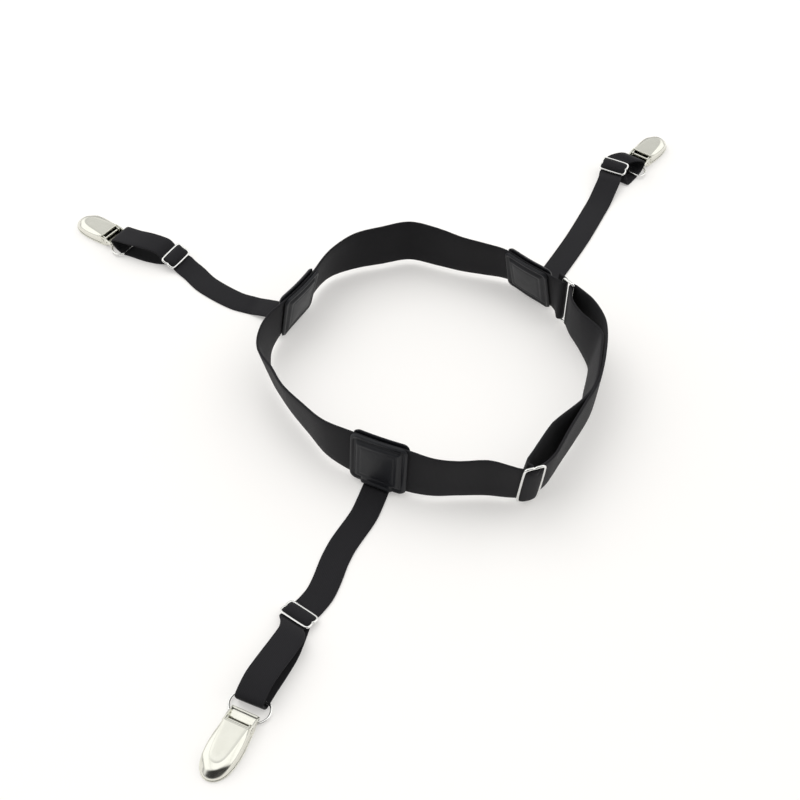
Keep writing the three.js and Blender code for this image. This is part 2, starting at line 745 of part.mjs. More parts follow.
// The cover: a domed shell, open behind and below, with two lugs that turn on the pin.
function cover() {
  const low = plateThick + gap;
  const past = coverThick;
  const top = (y) => clipHeight - (coverFall * y) / clipLength;
  const shoulder = (y) => top(y) - shoulderDrop;
  const waist = (y) => (low + shoulder(y)) / 2;
  const outer = loft([
    clipRing(0, () => low),
    clipRing(wallInset, waist),
    clipRing(shoulderInset, shoulder),
    clipRing(topInset, top),
  ]);
  const hollow = loft([
    clipRing(coverThick, () => low - past, -past),
    clipRing(coverThick + wallInset, waist, -past),
    clipRing(coverThick + shoulderInset + gap / 2, (y) => shoulder(y) - gap, -past),
    clipRing(coverThick + topInset, (y) => top(y) - coverThick, -past),
  ]);
  const earRoom = boxBetween(
    v3(-clipWidth, -clipTail, -past),
    v3(clipWidth, earRun + gap, clipHeight - coverThick),
  );
  const boss = pinDiameter / 2 + gap + coverThick;
  const side = new THREE.Shape();
  side.moveTo(-pinBack, pinHeight - boss);
  side.lineTo(lugReach, pinHeight - boss / 3);
  side.lineTo(lugReach, clipHeight - coverThick / 2);
  side.lineTo(-pinBack, pinHeight + boss);
  side.absarc(-pinBack, pinHeight, boss, 0.5 * Math.PI, 1.5 * Math.PI, false);
  roundHole(side, -pinBack, pinHeight, pinDiameter / 2 + gap);
  const lugs = [innerWidth - gap - coverThick, -innerWidth + gap]
    .map((from) => sidePlate(side, from, coverThick));
  return fuse([cut(cut(outer, hollow), earRoom), ...lugs]);
}

// The base: a tongue below the cover, two ears that carry the pin, and a raised bar behind a slot.
function base() {
  const rim = clipRing(-sideGap, () => 0, 0);
  const outline = [
    v3(clipWidth / 2, plateRear, 0),
    ...rim.slice(1, -1),
    v3(-clipWidth / 2, plateRear, 0),
  ];
  const plate = loft([outline, outline.map((p) => v3(p.x, p.y, plateThick))]);
  const side = new THREE.Shape();
  side.moveTo(plateRear, 0);
  side.lineTo(earRun, 0);
  side.lineTo(earRun, pinHeight - springHoleDrop);
  side.lineTo(earRun - earNose, earTop);
  side.lineTo(-pinBack - earCrown, earTop);
  side.lineTo(-clipTail, rearBarLow + rearBarHeight);
  side.lineTo(-clipTail, rearBarLow);
  side.lineTo(plateRear - earHeel, rearBarLow - gap);
  roundHole(side, -pinBack, pinHeight, pinDiameter / 2 + gap);
  roundHole(side, plateRear - springHoleBack, pinHeight - springHoleDrop, springHole / 2);
  const ears = [innerWidth, -clipWidth / 2].map((from) => sidePlate(side, from, earThick));
  const bar = boxBetween(
    v3(-clipWidth / 2 + rearBarInset, -clipTail, rearBarLow),
    v3(clipWidth / 2 - rearBarInset, -clipTail + rearBarDepth, rearBarLow + rearBarHeight),
  );
  return fuse([plate, ...ears, bar]);
}

// The jaw: a plate on the tongue with a row of teeth across its front edge.
function jaw() {
  const front = clipLength * jawFront;
  const low = plateThick + gap;
  const plate = boxBetween(
    v3(-jawWidth / 2, front - jawLength, low),
    v3(jawWidth / 2, front, low + jawThick),
  );
  const teeth = new THREE.Shape();
  teeth.moveTo(-jawWidth / 2, low + toothSink);
  teeth.lineTo(jawWidth / 2, low + toothSink);
  const step = jawWidth / toothCount;
  for (let i = toothCount; i > 0; i -= 1) {
    teeth.lineTo(-jawWidth / 2 + i * step, low + jawThick);
    teeth.lineTo(-jawWidth / 2 + (i - 0.5) * step, low + jawThick + toothHeight);
  }
  teeth.lineTo(-jawWidth / 2, low + jawThick);
  const row = new THREE.ExtrudeGeometry(teeth, { depth: jawThick * 2, bevelEnabled: false });
  row.rotateX(Math.PI / 2);
  row.translate(0, front, 0);
  return fuse([plate, row]);
}

function pin() {
  const rod = new THREE.CylinderGeometry(pinDiameter / 2, pinDiameter / 2, clipWidth, 10);
  rod.rotateZ(Math.PI / 2);
  rod.translate(0, -pinBack, pinHeight);
  return rod;
}

['front', 'left', 'right'].forEach((side) => {
  const { start } = tailFrame(side);
  piece(`patch_${side}_outer`, leaf(start, 1), 'leather');
  piece(`patch_${side}_inner`, leaf(start, -1), 'leather');

  const way = strapPath(side);
  piece(`strap_${side}`, ribbon(way.path, strapWidth, strapThick), 'webbing');
  const frame = piece(`slider_${side}`, sliderFrame(strapWidth, narrowSliderPitch, strapWire, 6), 'wire');
  orient(frame, way.sliderCentre, way.sliderWide.clone().negate(), way.forward);

  const slope = Math.asin((way.bar.z - apexHeight) / ringDepth);
  const heading = onPlan(way.ringHeading);
  const dip = heading.clone().multiplyScalar(Math.cos(slope)).addScaledVector(up, -Math.sin(slope));
  const hoop = piece(`d_ring_${side}`, dRing(), 'wire');
  orient(hoop, way.bar, onPlan(rightOf(way.ringHeading)), dip);

  const clip = new THREE.Group();
  const clipHeading = onPlan(headingOf(way.facing + way.tail.clipTurn));
  const pulled = -ringPulled - way.tail.slide * ringSlide;
  const place = way.bar.clone().addScaledVector(dip, ringDepth).addScaledVector(clipHeading, pulled);
  orient(clip, place.setZ(0), onPlan(rightOf(clipHeading)), clipHeading);
  stay.add(clip);
  piece(`clip_${side}_base`, base(), 'nickel', clip);
  piece(`clip_${side}_jaw`, jaw(), 'nickel', clip);
  piece(`clip_${side}_pin`, pin(), 'nickel', clip);
  piece(`clip_${side}_lever`, cover(), 'nickel', clip);
});

stay.updateMatrixWorld(true);
const box = new THREE.Box3().setFromObject(stay, true);
stay.position.set(-(box.min.x + box.max.x) / 2, -(box.min.y + box.max.y) / 2, -box.min.z);

export default stay;
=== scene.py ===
# %% [markdown]
# # A shirt stay on a pale table
#
# The object is a thigh garter: a black elastic band with leather patches, three elastic
# straps and three metal garter clips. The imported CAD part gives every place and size. This
# lesson builds the surfaces that the photo shows on top of it: woven webbing with soft
# edges, patches pressed from faux leather, smooth plated wire and pressed nickel clips.

import json
import math

import bpy
import numpy as np
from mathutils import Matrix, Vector


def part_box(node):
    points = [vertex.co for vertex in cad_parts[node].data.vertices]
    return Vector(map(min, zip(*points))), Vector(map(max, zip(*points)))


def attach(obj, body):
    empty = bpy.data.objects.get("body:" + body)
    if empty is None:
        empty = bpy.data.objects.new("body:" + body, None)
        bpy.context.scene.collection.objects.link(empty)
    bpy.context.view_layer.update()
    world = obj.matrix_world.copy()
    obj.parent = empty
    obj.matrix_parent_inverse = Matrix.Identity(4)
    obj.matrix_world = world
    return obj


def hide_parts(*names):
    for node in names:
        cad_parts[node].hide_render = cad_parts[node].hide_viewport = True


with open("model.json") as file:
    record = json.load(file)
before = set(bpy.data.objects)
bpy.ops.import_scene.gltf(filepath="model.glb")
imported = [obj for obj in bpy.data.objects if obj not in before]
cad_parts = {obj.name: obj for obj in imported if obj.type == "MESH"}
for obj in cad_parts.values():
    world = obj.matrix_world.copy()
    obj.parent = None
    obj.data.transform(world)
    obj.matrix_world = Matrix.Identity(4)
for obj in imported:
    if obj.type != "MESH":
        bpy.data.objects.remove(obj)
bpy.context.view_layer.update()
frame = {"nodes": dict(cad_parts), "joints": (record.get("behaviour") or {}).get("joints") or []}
MM = 0.001
SIDES = ("front", "left", "right")
ROOT = "stay"

# %% [markdown]
# ## The camera
#
# The photo looks down at the table from the front at about 48 degrees. A fit of the
# band's and the straps' edges gave the height, the pitch and the focal length. The view
# is about 35 degrees wide, so near parts are drawn a little larger than far ones, and a
# parallel camera would miss that. The camera is made first, because everything else is
# judged through it.

# %% Camera
CAMERA_PLACE = (0.01242, -0.48262, 0.536)
CAMERA_PITCH = math.radians(48.4)
FOCAL_PIXELS = 1259.0
FRAME_PIXELS = 800.0
SENSOR = 36.0
NEAREST = 0.05
FARTHEST = 100.0

camera_data = bpy.data.cameras.new("camera")
camera_data.sensor_width = SENSOR
camera_data.lens = FOCAL_PIXELS * SENSOR / FRAME_PIXELS
camera_data.dof.use_dof = False
camera_data.clip_start = NEAREST
camera_data.clip_end = FARTHEST
camera = bpy.data.objects.new("camera", camera_data)
camera.location = CAMERA_PLACE
camera.rotation_euler = (math.radians(90) - CAMERA_PITCH, 0, 0)
bpy.context.scene.collection.objects.link(camera)
bpy.context.scene.camera = camera
print("camera at", CAMERA_PLACE, "lens", round(camera_data.lens, 2))

# %% [markdown]
# ## Finishes as shader node groups
#
# Three surfaces repeat: webbing, pressed faux leather and plated metal. Each is a node
# group with named inputs, so one place sets the effect and each material gives its own
# numbers. Webbing could be a flat dark colour, but at close range its ribs and a thin
# lighter grain are what say elastic. The groups put out only a colour, a roughness and a
# height, and the shader itself stays in the material, where its look can be read.

# %% Node helpers
def new_group(name, inputs, outputs):
    group = bpy.data.node_groups.new(name, "ShaderNodeTree")
    for label, value in inputs.items():
        kind = "NodeSocketColor" if isinstance(value, tuple) else "NodeSocketFloat"
        socket = group.interface.new_socket(label, in_out="INPUT", socket_type=kind)
        socket.default_value = value
    for label, kind in outputs.items():
        group.interface.new_socket(label, in_out="OUTPUT", socket_type=kind)
    start = group.nodes.new("NodeGroupInput")
    end = group.nodes.new("NodeGroupOutput")
    return group, start.outputs, end.inputs


def math_node(group, operation, first, second=None):
    node = group.nodes.new("ShaderNodeMath")
    node.operation = operation
    for socket, value in zip(node.inputs, (first, second)):
        if isinstance(value, (int, float)):
            socket.default_value = value
        elif value is not None:
            group.links.new(value, socket)
    return node.outputs[0]


def mix_colour(group, factor, first, second):
    node = group.nodes.new("ShaderNodeMix")
    node.data_type = "RGBA"
    group.links.new(factor, node.inputs["Factor"])
    colours = [socket for socket in node.inputs if socket.type == "RGBA"]
    for socket, value in zip(colours, (first, second)):
        if isinstance(value, tuple):
            socket.default_value = value
        else:
            group.links.new(value, socket)
    return [socket for socket in node.outputs if socket.type == "RGBA"][0]


def noise_node(group, coordinate, scale, detail):
    node = group.nodes.new("ShaderNodeTexNoise")
    node.inputs["Scale"].default_value = scale
    node.inputs["Detail"].default_value = detail
    group.links.new(coordinate, node.inputs["Vector"])
    return node.outputs[0]


SURFACE = {"Color": "NodeSocketColor", "Roughness": "NodeSocketFloat", "Height": "NodeSocketFloat"}

# %% Woven webbing group
THREAD = (0.0150, 0.0143, 0.0172, 1.0)
# Painted shade: this darker colour fills the valleys between the ribs, and the random dark patches too.
THREAD_DARK_AND_PAINTED_SHADE = (0.0078, 0.0076, 0.0092, 1.0)
RIB_PITCH = 0.85 * MM
PICK_PITCH = 0.60 * MM
FUZZ_SCALE = 900.0
FUZZ_HEIGHT = 0.5
PATCHY_SCALE = 28.0
PATCHY_TONE = 0.50
PAINTED_RELIEF_SHADE_AND_FUZZ = 0.22
DULLEST = 0.92
THREAD_GLOSS = 0.2

weave_group, given, out = new_group(
    "woven_webbing",
    {"Thread": THREAD, "Dark tone and painted shade": THREAD_DARK_AND_PAINTED_SHADE, "Rib pitch": RIB_PITCH, "Pick pitch": PICK_PITCH},
    SURFACE,
)
uv = weave_group.nodes.new("ShaderNodeUVMap")
split = weave_group.nodes.new("ShaderNodeSeparateXYZ")
weave_group.links.new(uv.outputs["UV"], split.inputs[0])


def wave(group, position, pitch):
    """A sine between 0 and 1 that repeats after each pitch."""
    turns = math_node(group, "DIVIDE", position, pitch)
    angle = math_node(group, "MULTIPLY", turns, 2 * math.pi)
    sine = math_node(group, "SINE", angle)
    half = math_node(group, "MULTIPLY", sine, 0.5)
    return math_node(group, "ADD", half, 0.5)


ribs = wave(weave_group, split.outputs["Y"], given["Rib pitch"])
picks = wave(weave_group, split.outputs["X"], given["Pick pitch"])
threads = math_node(weave_group, "MULTIPLY", ribs, picks)
place = weave_group.nodes.new("ShaderNodeTexCoord").outputs["Object"]
fuzz = noise_node(weave_group, place, FUZZ_SCALE, 2.0)
patchy = noise_node(weave_group, place, PATCHY_SCALE, 2.0)
# Painted shade: the colour follows the rib height, darker in the valleys and lighter on the raised threads.
# The fuzz adds a random grain and the patchy noise a random tone.
height = math_node(weave_group, "ADD", threads, math_node(weave_group, "MULTIPLY", fuzz, FUZZ_HEIGHT))
raised = math_node(weave_group, "MULTIPLY", height, PAINTED_RELIEF_SHADE_AND_FUZZ)
clouded = math_node(weave_group, "MULTIPLY", patchy, PATCHY_TONE)
tone = math_node(weave_group, "ADD", raised, clouded)
gloss = math_node(weave_group, "MULTIPLY", threads, THREAD_GLOSS)
weave_group.links.new(mix_colour(weave_group, tone, given["Dark tone and painted shade"], given["Thread"]), out["Color"])
weave_group.links.new(math_node(weave_group, "SUBTRACT", DULLEST, gloss), out["Roughness"])
weave_group.links.new(height, out["Height"])
print("group:", weave_group.name, "with", len(weave_group.nodes), "nodes")

# %% [markdown]
# ## Pressed leather
#
# The patches are faux leather: a fine pebbled grain with softer hills in it. A picture of
# leather could be laid on, but a cell pattern under a soft noise gives the same grain at
# any distance. The hills are a little lighter and duller, as if rubbed.

# %% Pressed leather group
LEATHER_TONE = (0.0078, 0.0084, 0.0108, 1.0)
LEATHER_WORN = (0.0135, 0.0145, 0.0185, 1.0)
PEBBLE_SCALE = 1500.0
PEBBLE_DEPTH = 0.7
HILL_SCALE = 120.0
HILL_DULLNESS = 0.18
LEATHER_SMOOTH = 0.33

leather_group, given, out = new_group(
    "pressed_leather",
    {"Tone": LEATHER_TONE, "Worn tone": LEATHER_WORN, "Grain scale": PEBBLE_SCALE,
     "Least roughness": LEATHER_SMOOTH},
    SURFACE,
)
place = leather_group.nodes.new("ShaderNodeTexCoord").outputs["Object"]
pebble = leather_group.nodes.new("ShaderNodeTexVoronoi")
pebble.feature = "SMOOTH_F1"
leather_group.links.new(place, pebble.inputs["Vector"])
leather_group.links.new(given["Grain scale"], pebble.inputs["Scale"])
hills = noise_node(leather_group, place, HILL_SCALE, 3.0)
pebbles = math_node(leather_group, "MULTIPLY", pebble.outputs["Distance"], PEBBLE_DEPTH)
dulled = math_node(leather_group, "MULTIPLY", hills, HILL_DULLNESS)
leather_group.links.new(mix_colour(leather_group, hills, given["Tone"], given["Worn tone"]), out["Color"])
leather_group.links.new(math_node(leather_group, "ADD", given["Least roughness"], dulled), out["Roughness"])
leather_group.links.new(math_node(leather_group, "SUBTRACT", hills, pebbles), out["Height"])
print("group:", leather_group.name, "with", len(leather_group.nodes), "nodes")

# %% [markdown]
# ## Plated metal
#
# Wire and clips are plated, so they are nearly mirrors. Plain metal would look like
# chrome from a catalogue. A slow noise makes some places duller and warmer, and a fine
# one gives the plating a height that is hardly there.

# %% Plated metal group
METAL_TINT = (0.80, 0.795, 0.735, 1.0)
METAL_DULL = (0.72, 0.715, 0.64, 1.0)
METAL_SMOOTH = 0.14
METAL_WEAR = 0.10
CLOUD_SCALE = 160.0
FINE_SCALE = 1400.0

metal_group, given, out = new_group(
    "plated_metal",
    {"Tint": METAL_TINT, "Dull tint": METAL_DULL, "Least roughness": METAL_SMOOTH, "Wear": METAL_WEAR},
    SURFACE,
)
place = metal_group.nodes.new("ShaderNodeTexCoord").outputs["Object"]
cloud = noise_node(metal_group, place, CLOUD_SCALE, 4.0)
fine = noise_node(metal_group, place, FINE_SCALE, 3.0)
worn = math_node(metal_group, "MULTIPLY", given["Wear"], cloud)
metal_group.links.new(mix_colour(metal_group, cloud, given["Tint"], given["Dull tint"]), out["Color"])
metal_group.links.new(math_node(metal_group, "ADD", given["Least roughness"], worn), out["Roughness"])
metal_group.links.new(fine, out["Height"])
print("group:", metal_group.name, "with", len(metal_group.nodes), "nodes")

# %% [markdown]
# ## Four materials
#
# Each material puts one group in front of its own shader, and the group's height goes
# through a bump. Wire and clips share the metal group: the wire is whiter and a little
# smoother than the nickel.

# %% Materials from the groups
WIRE_TINT = (0.90, 0.90, 0.89, 1.0)
WIRE_DULL = (0.82, 0.82, 0.80, 1.0)
WIRE_SMOOTH = 0.12


def grouped_material(name, group, inputs, bump, bump_reach, **shader_values):
    material = bpy.data.materials.new(name)
    material.use_nodes = True
    nodes, links = material.node_tree.nodes, material.node_tree.links
    shader = nodes["Principled BSDF"]
    effect = nodes.new("ShaderNodeGroup")
    effect.node_tree = group
    for label, value in inputs.items():
        effect.inputs[label].default_value = value
    relief = nodes.new("ShaderNodeBump")
    relief.inputs["Strength"].default_value = bump
    relief.inputs["Distance"].default_value = bump_reach
    links.new(effect.outputs["Color"], shader.inputs["Base Color"])
    links.new(effect.outputs["Roughness"], shader.inputs["Roughness"])
    links.new(effect.outputs["Height"], relief.inputs["Height"])
    links.new(relief.outputs["Normal"], shader.inputs["Normal"])
    for label, value in shader_values.items():
        shader.inputs[label.replace("_", " ")].default_value = value
    return material


webbing = grouped_material(
    "webbing", weave_group, {}, bump=0.30, bump_reach=0.10 * MM,
    Specular_IOR_Level=0.30, Sheen_Weight=0.05, Sheen_Roughness=0.5,
)
leather = grouped_material(
    "leather", leather_group, {}, bump=0.22, bump_reach=0.10 * MM, Specular_IOR_Level=0.31,
)
wire = grouped_material(
    "wire", metal_group, {"Tint": WIRE_TINT, "Dull tint": WIRE_DULL, "Least roughness": WIRE_SMOOTH},
    bump=0.02, bump_reach=0.04 * MM, Metallic=1.0,
)
nickel = grouped_material("nickel", metal_group, {}, bump=0.03, bump_reach=0.05 * MM, Metallic=1.0)
print("materials:", ", ".join(m.name for m in (webbing, leather, wire, nickel)))

# %% [markdown]
# ## Mesh helpers
#
# Every new piece is made of rings of points joined into quads, in metres and in the shared
# frame, so a piece can be read as rows of sections. A piece rides on its body, hides the
# CAD nodes that it stands for, and takes the material that it is given. Modifiers
# could round the CAD nodes instead, but they are faceted, and their facets would stay.

# %% Mesh helpers
def unit(vector):
    vector = np.asarray(vector, dtype=float)
    return vector / np.linalg.norm(vector)


def add_piece(name, points, faces, material, body, stands_for=(), uvs=None, sharp=None):
    mesh = bpy.data.meshes.new(name)
    mesh.from_pydata([tuple(p) for p in points], [], faces)
    mesh.update()
    for polygon in mesh.polygons:
        polygon.use_smooth = True
    if sharp is not None:
        mesh.set_sharp_from_angle(angle=math.radians(sharp))
    if uvs is not None:
        layer = mesh.uv_layers.new(name="UVMap")
        for loop in mesh.loops:
            layer.data[loop.index].uv = uvs[loop.vertex_index]
    mesh.materials.append(material)
    obj = bpy.data.objects.new(name, mesh)
    bpy.context.scene.collection.objects.link(obj)
    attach(obj, body)
    if stands_for:
        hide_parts(*stands_for)
    return obj


def grid_faces(rows, columns, close_columns=False, close_rows=False):
    faces = []
    for i in range(rows if close_rows else rows - 1):
        for j in range(columns if close_columns else columns - 1):
            a = i * columns + j
            b = i * columns + (j + 1) % columns
            c = ((i + 1) % rows) * columns + (j + 1) % columns
            d = ((i + 1) % rows) * columns + j
            faces.append((a, b, c, d))
    return faces


def grid_border(rows, columns):
    """Each pair of neighbours round a grid's edge, as indices."""
    last_row, last_column = rows - 1, columns - 1
    border = [(0, j) for j in range(last_column)] + [(i, last_column) for i in range(last_row)]
    border += [(last_row, j) for j in range(last_column, 0, -1)] + [(i, 0) for i in range(last_row, 0, -1)]
    border = [i * columns + j for i, j in border]
    return list(zip(border, border[1:] + border[:1]))


def face_out(points, faces):
    """Turns a closed mesh's faces outwards, by the sign of its volume."""
    points = np.asarray(points)
    volume = 0.0
    for face in faces:
        for k in range(1, len(face) - 1):
            a, b, c = points[face[0]], points[face[k]], points[face[k + 1]]
            volume += np.dot(a, np.cross(b, c))
    return faces if volume > 0 else [tuple(reversed(face)) for face in faces]


def spline(points, closed=False, step=1.2 * MM):
    """Points along a centripetal Catmull-Rom curve, and the place of each as row plus share."""
    points = np.asarray(points, dtype=float)
    count = len(points)
    places, curve = [], []
    spans = count if closed else count - 1
    for i in range(spans):
        p1, p2 = points[i], points[(i + 1) % count]
        p0 = points[(i - 1) % count] if closed or i > 0 else 2 * p1 - p2
        p3 = points[(i + 2) % count] if closed or i + 2 < count else 2 * p2 - p1
        t1 = max(np.linalg.norm(p1 - p0), 1e-9) ** 0.5
        t2 = t1 + max(np.linalg.norm(p2 - p1), 1e-9) ** 0.5
        t3 = t2 + max(np.linalg.norm(p3 - p2), 1e-9) ** 0.5
        pieces = max(2, math.ceil(np.linalg.norm(p2 - p1) / step))
        for k in range(pieces):
            t = t1 + (t2 - t1) * k / pieces
            a1 = p0 * (t1 - t) / t1 + p1 * t / t1
            a2 = p1 * (t2 - t) / (t2 - t1) + p2 * (t - t1) / (t2 - t1)
            a3 = p2 * (t3 - t) / (t3 - t2) + p3 * (t - t2) / (t3 - t2)
            b1 = a1 * (t2 - t) / t2 + a2 * t / t2
            b2 = a2 * (t3 - t) / (t3 - t1) + a3 * (t - t1) / (t3 - t1)
            curve.append(b1 * (t2 - t) / (t2 - t1) + b2 * (t - t1) / (t2 - t1))
            places.append(i + k / pieces)
    if not closed:
        curve.append(points[-1])
        places.append(count - 1)
    return np.array(curve), np.array(places)


# %% [markdown]
# ## Webbing read from the CAD strips
#
# The band and the straps are strips that the CAD part lofts through four-cornered rings.
# Reading those rings back gives the exact path, twist and width, so no route is typed
# twice. A curve through the rings' centres takes out the facets, and each new section has
# round edges and a faintly crowned face. Simulated cloth isn't used: webbing keeps its
# width, so its path says everything.

# %% Strip reader
WEBBING_SHARP = 60
END_NEIGHBOURS = 5
SAME_POINT = 0.001 * MM


def strip_rings(node):
    """The four-cornered rings of a lofted CAD strip, from one end to the other."""
    mesh = frame["nodes"][node].data
    keys, corners, merged = {}, [], []
    for vertex in mesh.vertices:
        key = tuple(round(c / SAME_POINT) for c in vertex.co)
        if key not in keys:
            keys[key] = len(corners)
            corners.append(tuple(vertex.co))
        merged.append(keys[key])
    links = [set() for _ in corners]
    for polygon in mesh.polygons:
        around = [merged[v] for v in polygon.vertices]
        for a, b in zip(around, around[1:] + around[:1]):
            links[a].add(b)
            links[b].add(a)
    # No face runs on past an end, so its corners have the fewest neighbours.
    ends = {v for v, near in enumerate(links) if len(near) <= END_NEIGHBOURS}
    first = {min(ends)}
    while len(first) < 4:
        first |= {w for v in first for w in links[v] & ends}
    first = sorted(first)
    rings, seen, layer = [], set(first), first
    while layer:
        rings.append(layer)
        layer = sorted({w for v in layer for w in links[v]} - seen)
        seen.update(layer)
    corners = np.array(corners)
    print(node, "rings:", len(rings), "sizes:", sorted({len(ring) for ring in rings}))
    return [corners[ring] for ring in rings]


def smooth(value, low, high):
    share = min(1.0, max(0.0, (value - low) / (high - low)))
    return share * share * (3 - 2 * share)


class Strip:
    """A strip's smooth centre line with its width direction, width and thickness."""

    def __init__(self, node):
        centres, wides = [], []
        for ring in strip_rings(node):
            partner = 1 + int(np.argmin([np.linalg.norm(ring[0] - ring[k]) for k in (1, 2, 3)]))
            others = [k for k in (1, 2, 3) if k != partner]
            wide = ring[others].mean(axis=0) - ring[[0, partner]].mean(axis=0)
            if wides and np.dot(wide, wides[-1]) < 0:
                wide = -wide
            centres.append(ring.mean(axis=0))
            wides.append(wide)
            self.thickness = np.linalg.norm(ring[0] - ring[partner])
        self.width = float(np.median([np.linalg.norm(w) for w in wides]))
        self.centres, places = spline(centres)
        low = np.minimum(places.astype(int), len(wides) - 2)
        share = (places - low)[:, None]
        wides = np.array([unit(w) for w in wides])
        self.wides = np.array([unit(w) for w in wides[low] * (1 - share) + wides[low + 1] * share])
        if self.wides[:, 2].mean() < -0.3:  # a strip on edge has its width direction up
            self.wides = -self.wides
        tangents = np.gradient(self.centres, axis=0)
        self.tangents = np.array([unit(t) for t in tangents])
        self.normals = np.array([unit(n) for n in np.cross(self.tangents, self.wides)])
        steps = np.linalg.norm(np.diff(self.centres, axis=0), axis=1)
        self.along = np.concatenate([[0], np.cumsum(steps)])

    def at(self, distance):
        def blend(values):
            return np.array([np.interp(distance, self.along, values[:, k]) for k in range(3)])
        return blend(self.centres), unit(blend(self.wides)), unit(blend(self.normals))

    def lean(self, middle, reach, amount, away_from):
        """Tips the upper edge outwards over a stretch and leaves the lower edge in place."""
        for i, distance in enumerate(self.along):
            share = 1 - smooth(abs(distance - middle), 0.0, reach)
            out = self.normals[i] * np.sign(np.dot(self.normals[i], self.centres[i] - away_from))
            upper = self.centres[i] + self.wides[i] * self.width / 2 + out * amount * share
            lower = self.centres[i] - self.wides[i] * self.width / 2
            self.centres[i] = (upper + lower) / 2
            self.wides[i] = unit(upper - lower)
        self.normals = np.array([unit(n) for n in np.cross(self.tangents, self.wides)])

    def nearest(self, point):
        return self.along[int(np.argmin(np.linalg.norm(self.centres - point, axis=1)))]


CROWN = 0.10
EDGE_TURN = (90, 60, 30, 0, -30, -60, -90)
FACE_PLACES = (0.6, 0.2, -0.2, -0.6)


def strip_section(width, thickness):
    """A flat section with round edges and a faint crown: pairs of across and up."""
    edge = thickness / 2
    flat = width / 2 - edge
    turn = [math.radians(degrees) for degrees in EDGE_TURN]
    right = [(flat + edge * math.cos(a), edge * math.sin(a)) for a in turn]
    under = [(flat * x, -edge * (1 + CROWN * (1 - x * x))) for x in FACE_PLACES]
    return right + under + [(-x, -y) for x, y in right] + [(-x, -y) for x, y in under]


def strip_piece(name, strip, stands_for):
    section = strip_section(strip.width, strip.thickness)
    points, uvs = [], []
    for p, w, n, s in zip(strip.centres, strip.wides, strip.normals, strip.along):
        for across, raised in section:
            points.append(p + w * across + n * raised)
            uvs.append((s, across))
    rows, columns = len(strip.centres), len(section)
    faces = grid_faces(rows, columns, close_columns=True)
    faces.append(tuple(range(columns)))
    faces.append(tuple(reversed(range((rows - 1) * columns, rows * columns))))
    faces = face_out(points, faces)
    return add_piece(name, points, faces, webbing, ROOT, stands_for, uvs, sharp=WEBBING_SHARP)


# %% [markdown]
# ## The band and its three straps
#
# The band is one strip, doubled along its right side. Near its end the slack layer leans
# outwards against the other one, so its upper edge is tipped that way there and the lower
# edge keeps its place on the table. A strap needs nothing more than its own path.

# %% Band and straps
SLACK_SHARE = 0.908
SLACK_REACH = 36 * MM
SLACK_LEAN = 3.6 * MM

band = Strip("thigh_band")
band.lean(SLACK_SHARE * band.along[-1], SLACK_REACH, SLACK_LEAN, band.centres.mean(axis=0))
strip_piece("band_webbing", band, ["thigh_band"])
print("band in mm:", round(band.along[-1] / MM), "by", round(band.width / MM, 1))
for side in SIDES:
    strap = Strip("strap_" + side)
    strip_piece("strap_webbing_" + side, strap, ["strap_" + side])
    print(side, "strap in mm:", round(strap.along[-1] / MM), "by", round(strap.width / MM, 1))

# %% [markdown]
# ## Patches pressed over the band
#
# Each patch is two squares of faux leather with the band and the strap's end between
# them. A hot press leaves a round rim, a groove inside it and a padded middle. A height
# over the square says all of that at once: the distance to the rounded edge picks the
# rim, the groove or the middle. The square is then laid over the band's own curve.

# %% Patches
PATCH_HALF = 16.5 * MM
PATCH_CORNER = 4.0 * MM
LEATHER = 1.2 * MM
LAY_GAP = 0.45 * MM
PANEL_RISE = 1.45 * MM
PANEL_FROM = 3.4 * MM
PANEL_FULL = 5.2 * MM
INNER_RISE = 0.75 * PANEL_RISE
CHANNEL_HALF = 7.8 * MM
CHANNEL_SLOPE = 1.6 * MM
CHANNEL_START = 4.0 * MM
RIM_HEIGHT = 0.50 * MM
RIM_UP = (0.2 * MM, 1.0 * MM)
RIM_DOWN = (1.6 * MM, 2.7 * MM)
GROOVE_PLACE = 3.2 * MM
GROOVE_DEPTH = 0.22 * MM
INNER_LINE_PLACE = 6.6 * MM
INNER_LINE_DEPTH = 0.26 * MM
LINE_REACH = 0.5 * MM
CROWN_HEIGHT = 0.25 * MM
CROWN_UP = (5.0 * MM, 14.0 * MM)
EDGE_ROUND = 0.7 * MM
EDGE_TOP = 0.55 * LEATHER
EDGE_BOTTOM = 0.45 * LEATHER
PATCH_LINES = 56
CROWDING = 0.55


def edge_distance(u, v):
    """How far inside the patch's rounded outline a point lies."""
    qx = abs(u) - (PATCH_HALF - PATCH_CORNER)
    qy = abs(v) - (PATCH_HALF - PATCH_CORNER)
    outside = math.hypot(max(qx, 0), max(qy, 0))
    return PATCH_CORNER - outside - min(max(qx, qy), 0)


def patch_lift(u, v, inside, outer):
    """How far the padded middle, or the strap's end under the leaf, lifts it off the band."""
    rise = PANEL_RISE if outer else INNER_RISE
    channel = 0.0
    if outer and v < 0:
        channel = 1 - smooth(abs(u), CHANNEL_HALF, CHANNEL_HALF + CHANNEL_SLOPE)
    return rise * max(smooth(inside, PANEL_FROM, PANEL_FULL), channel * smooth(-v, 0, CHANNEL_START))


def pressed_line(inside, place, depth):
    """A fine groove that follows the outline at one distance from it."""
    return -depth * math.exp(-((inside - place) / LINE_REACH) ** 2)


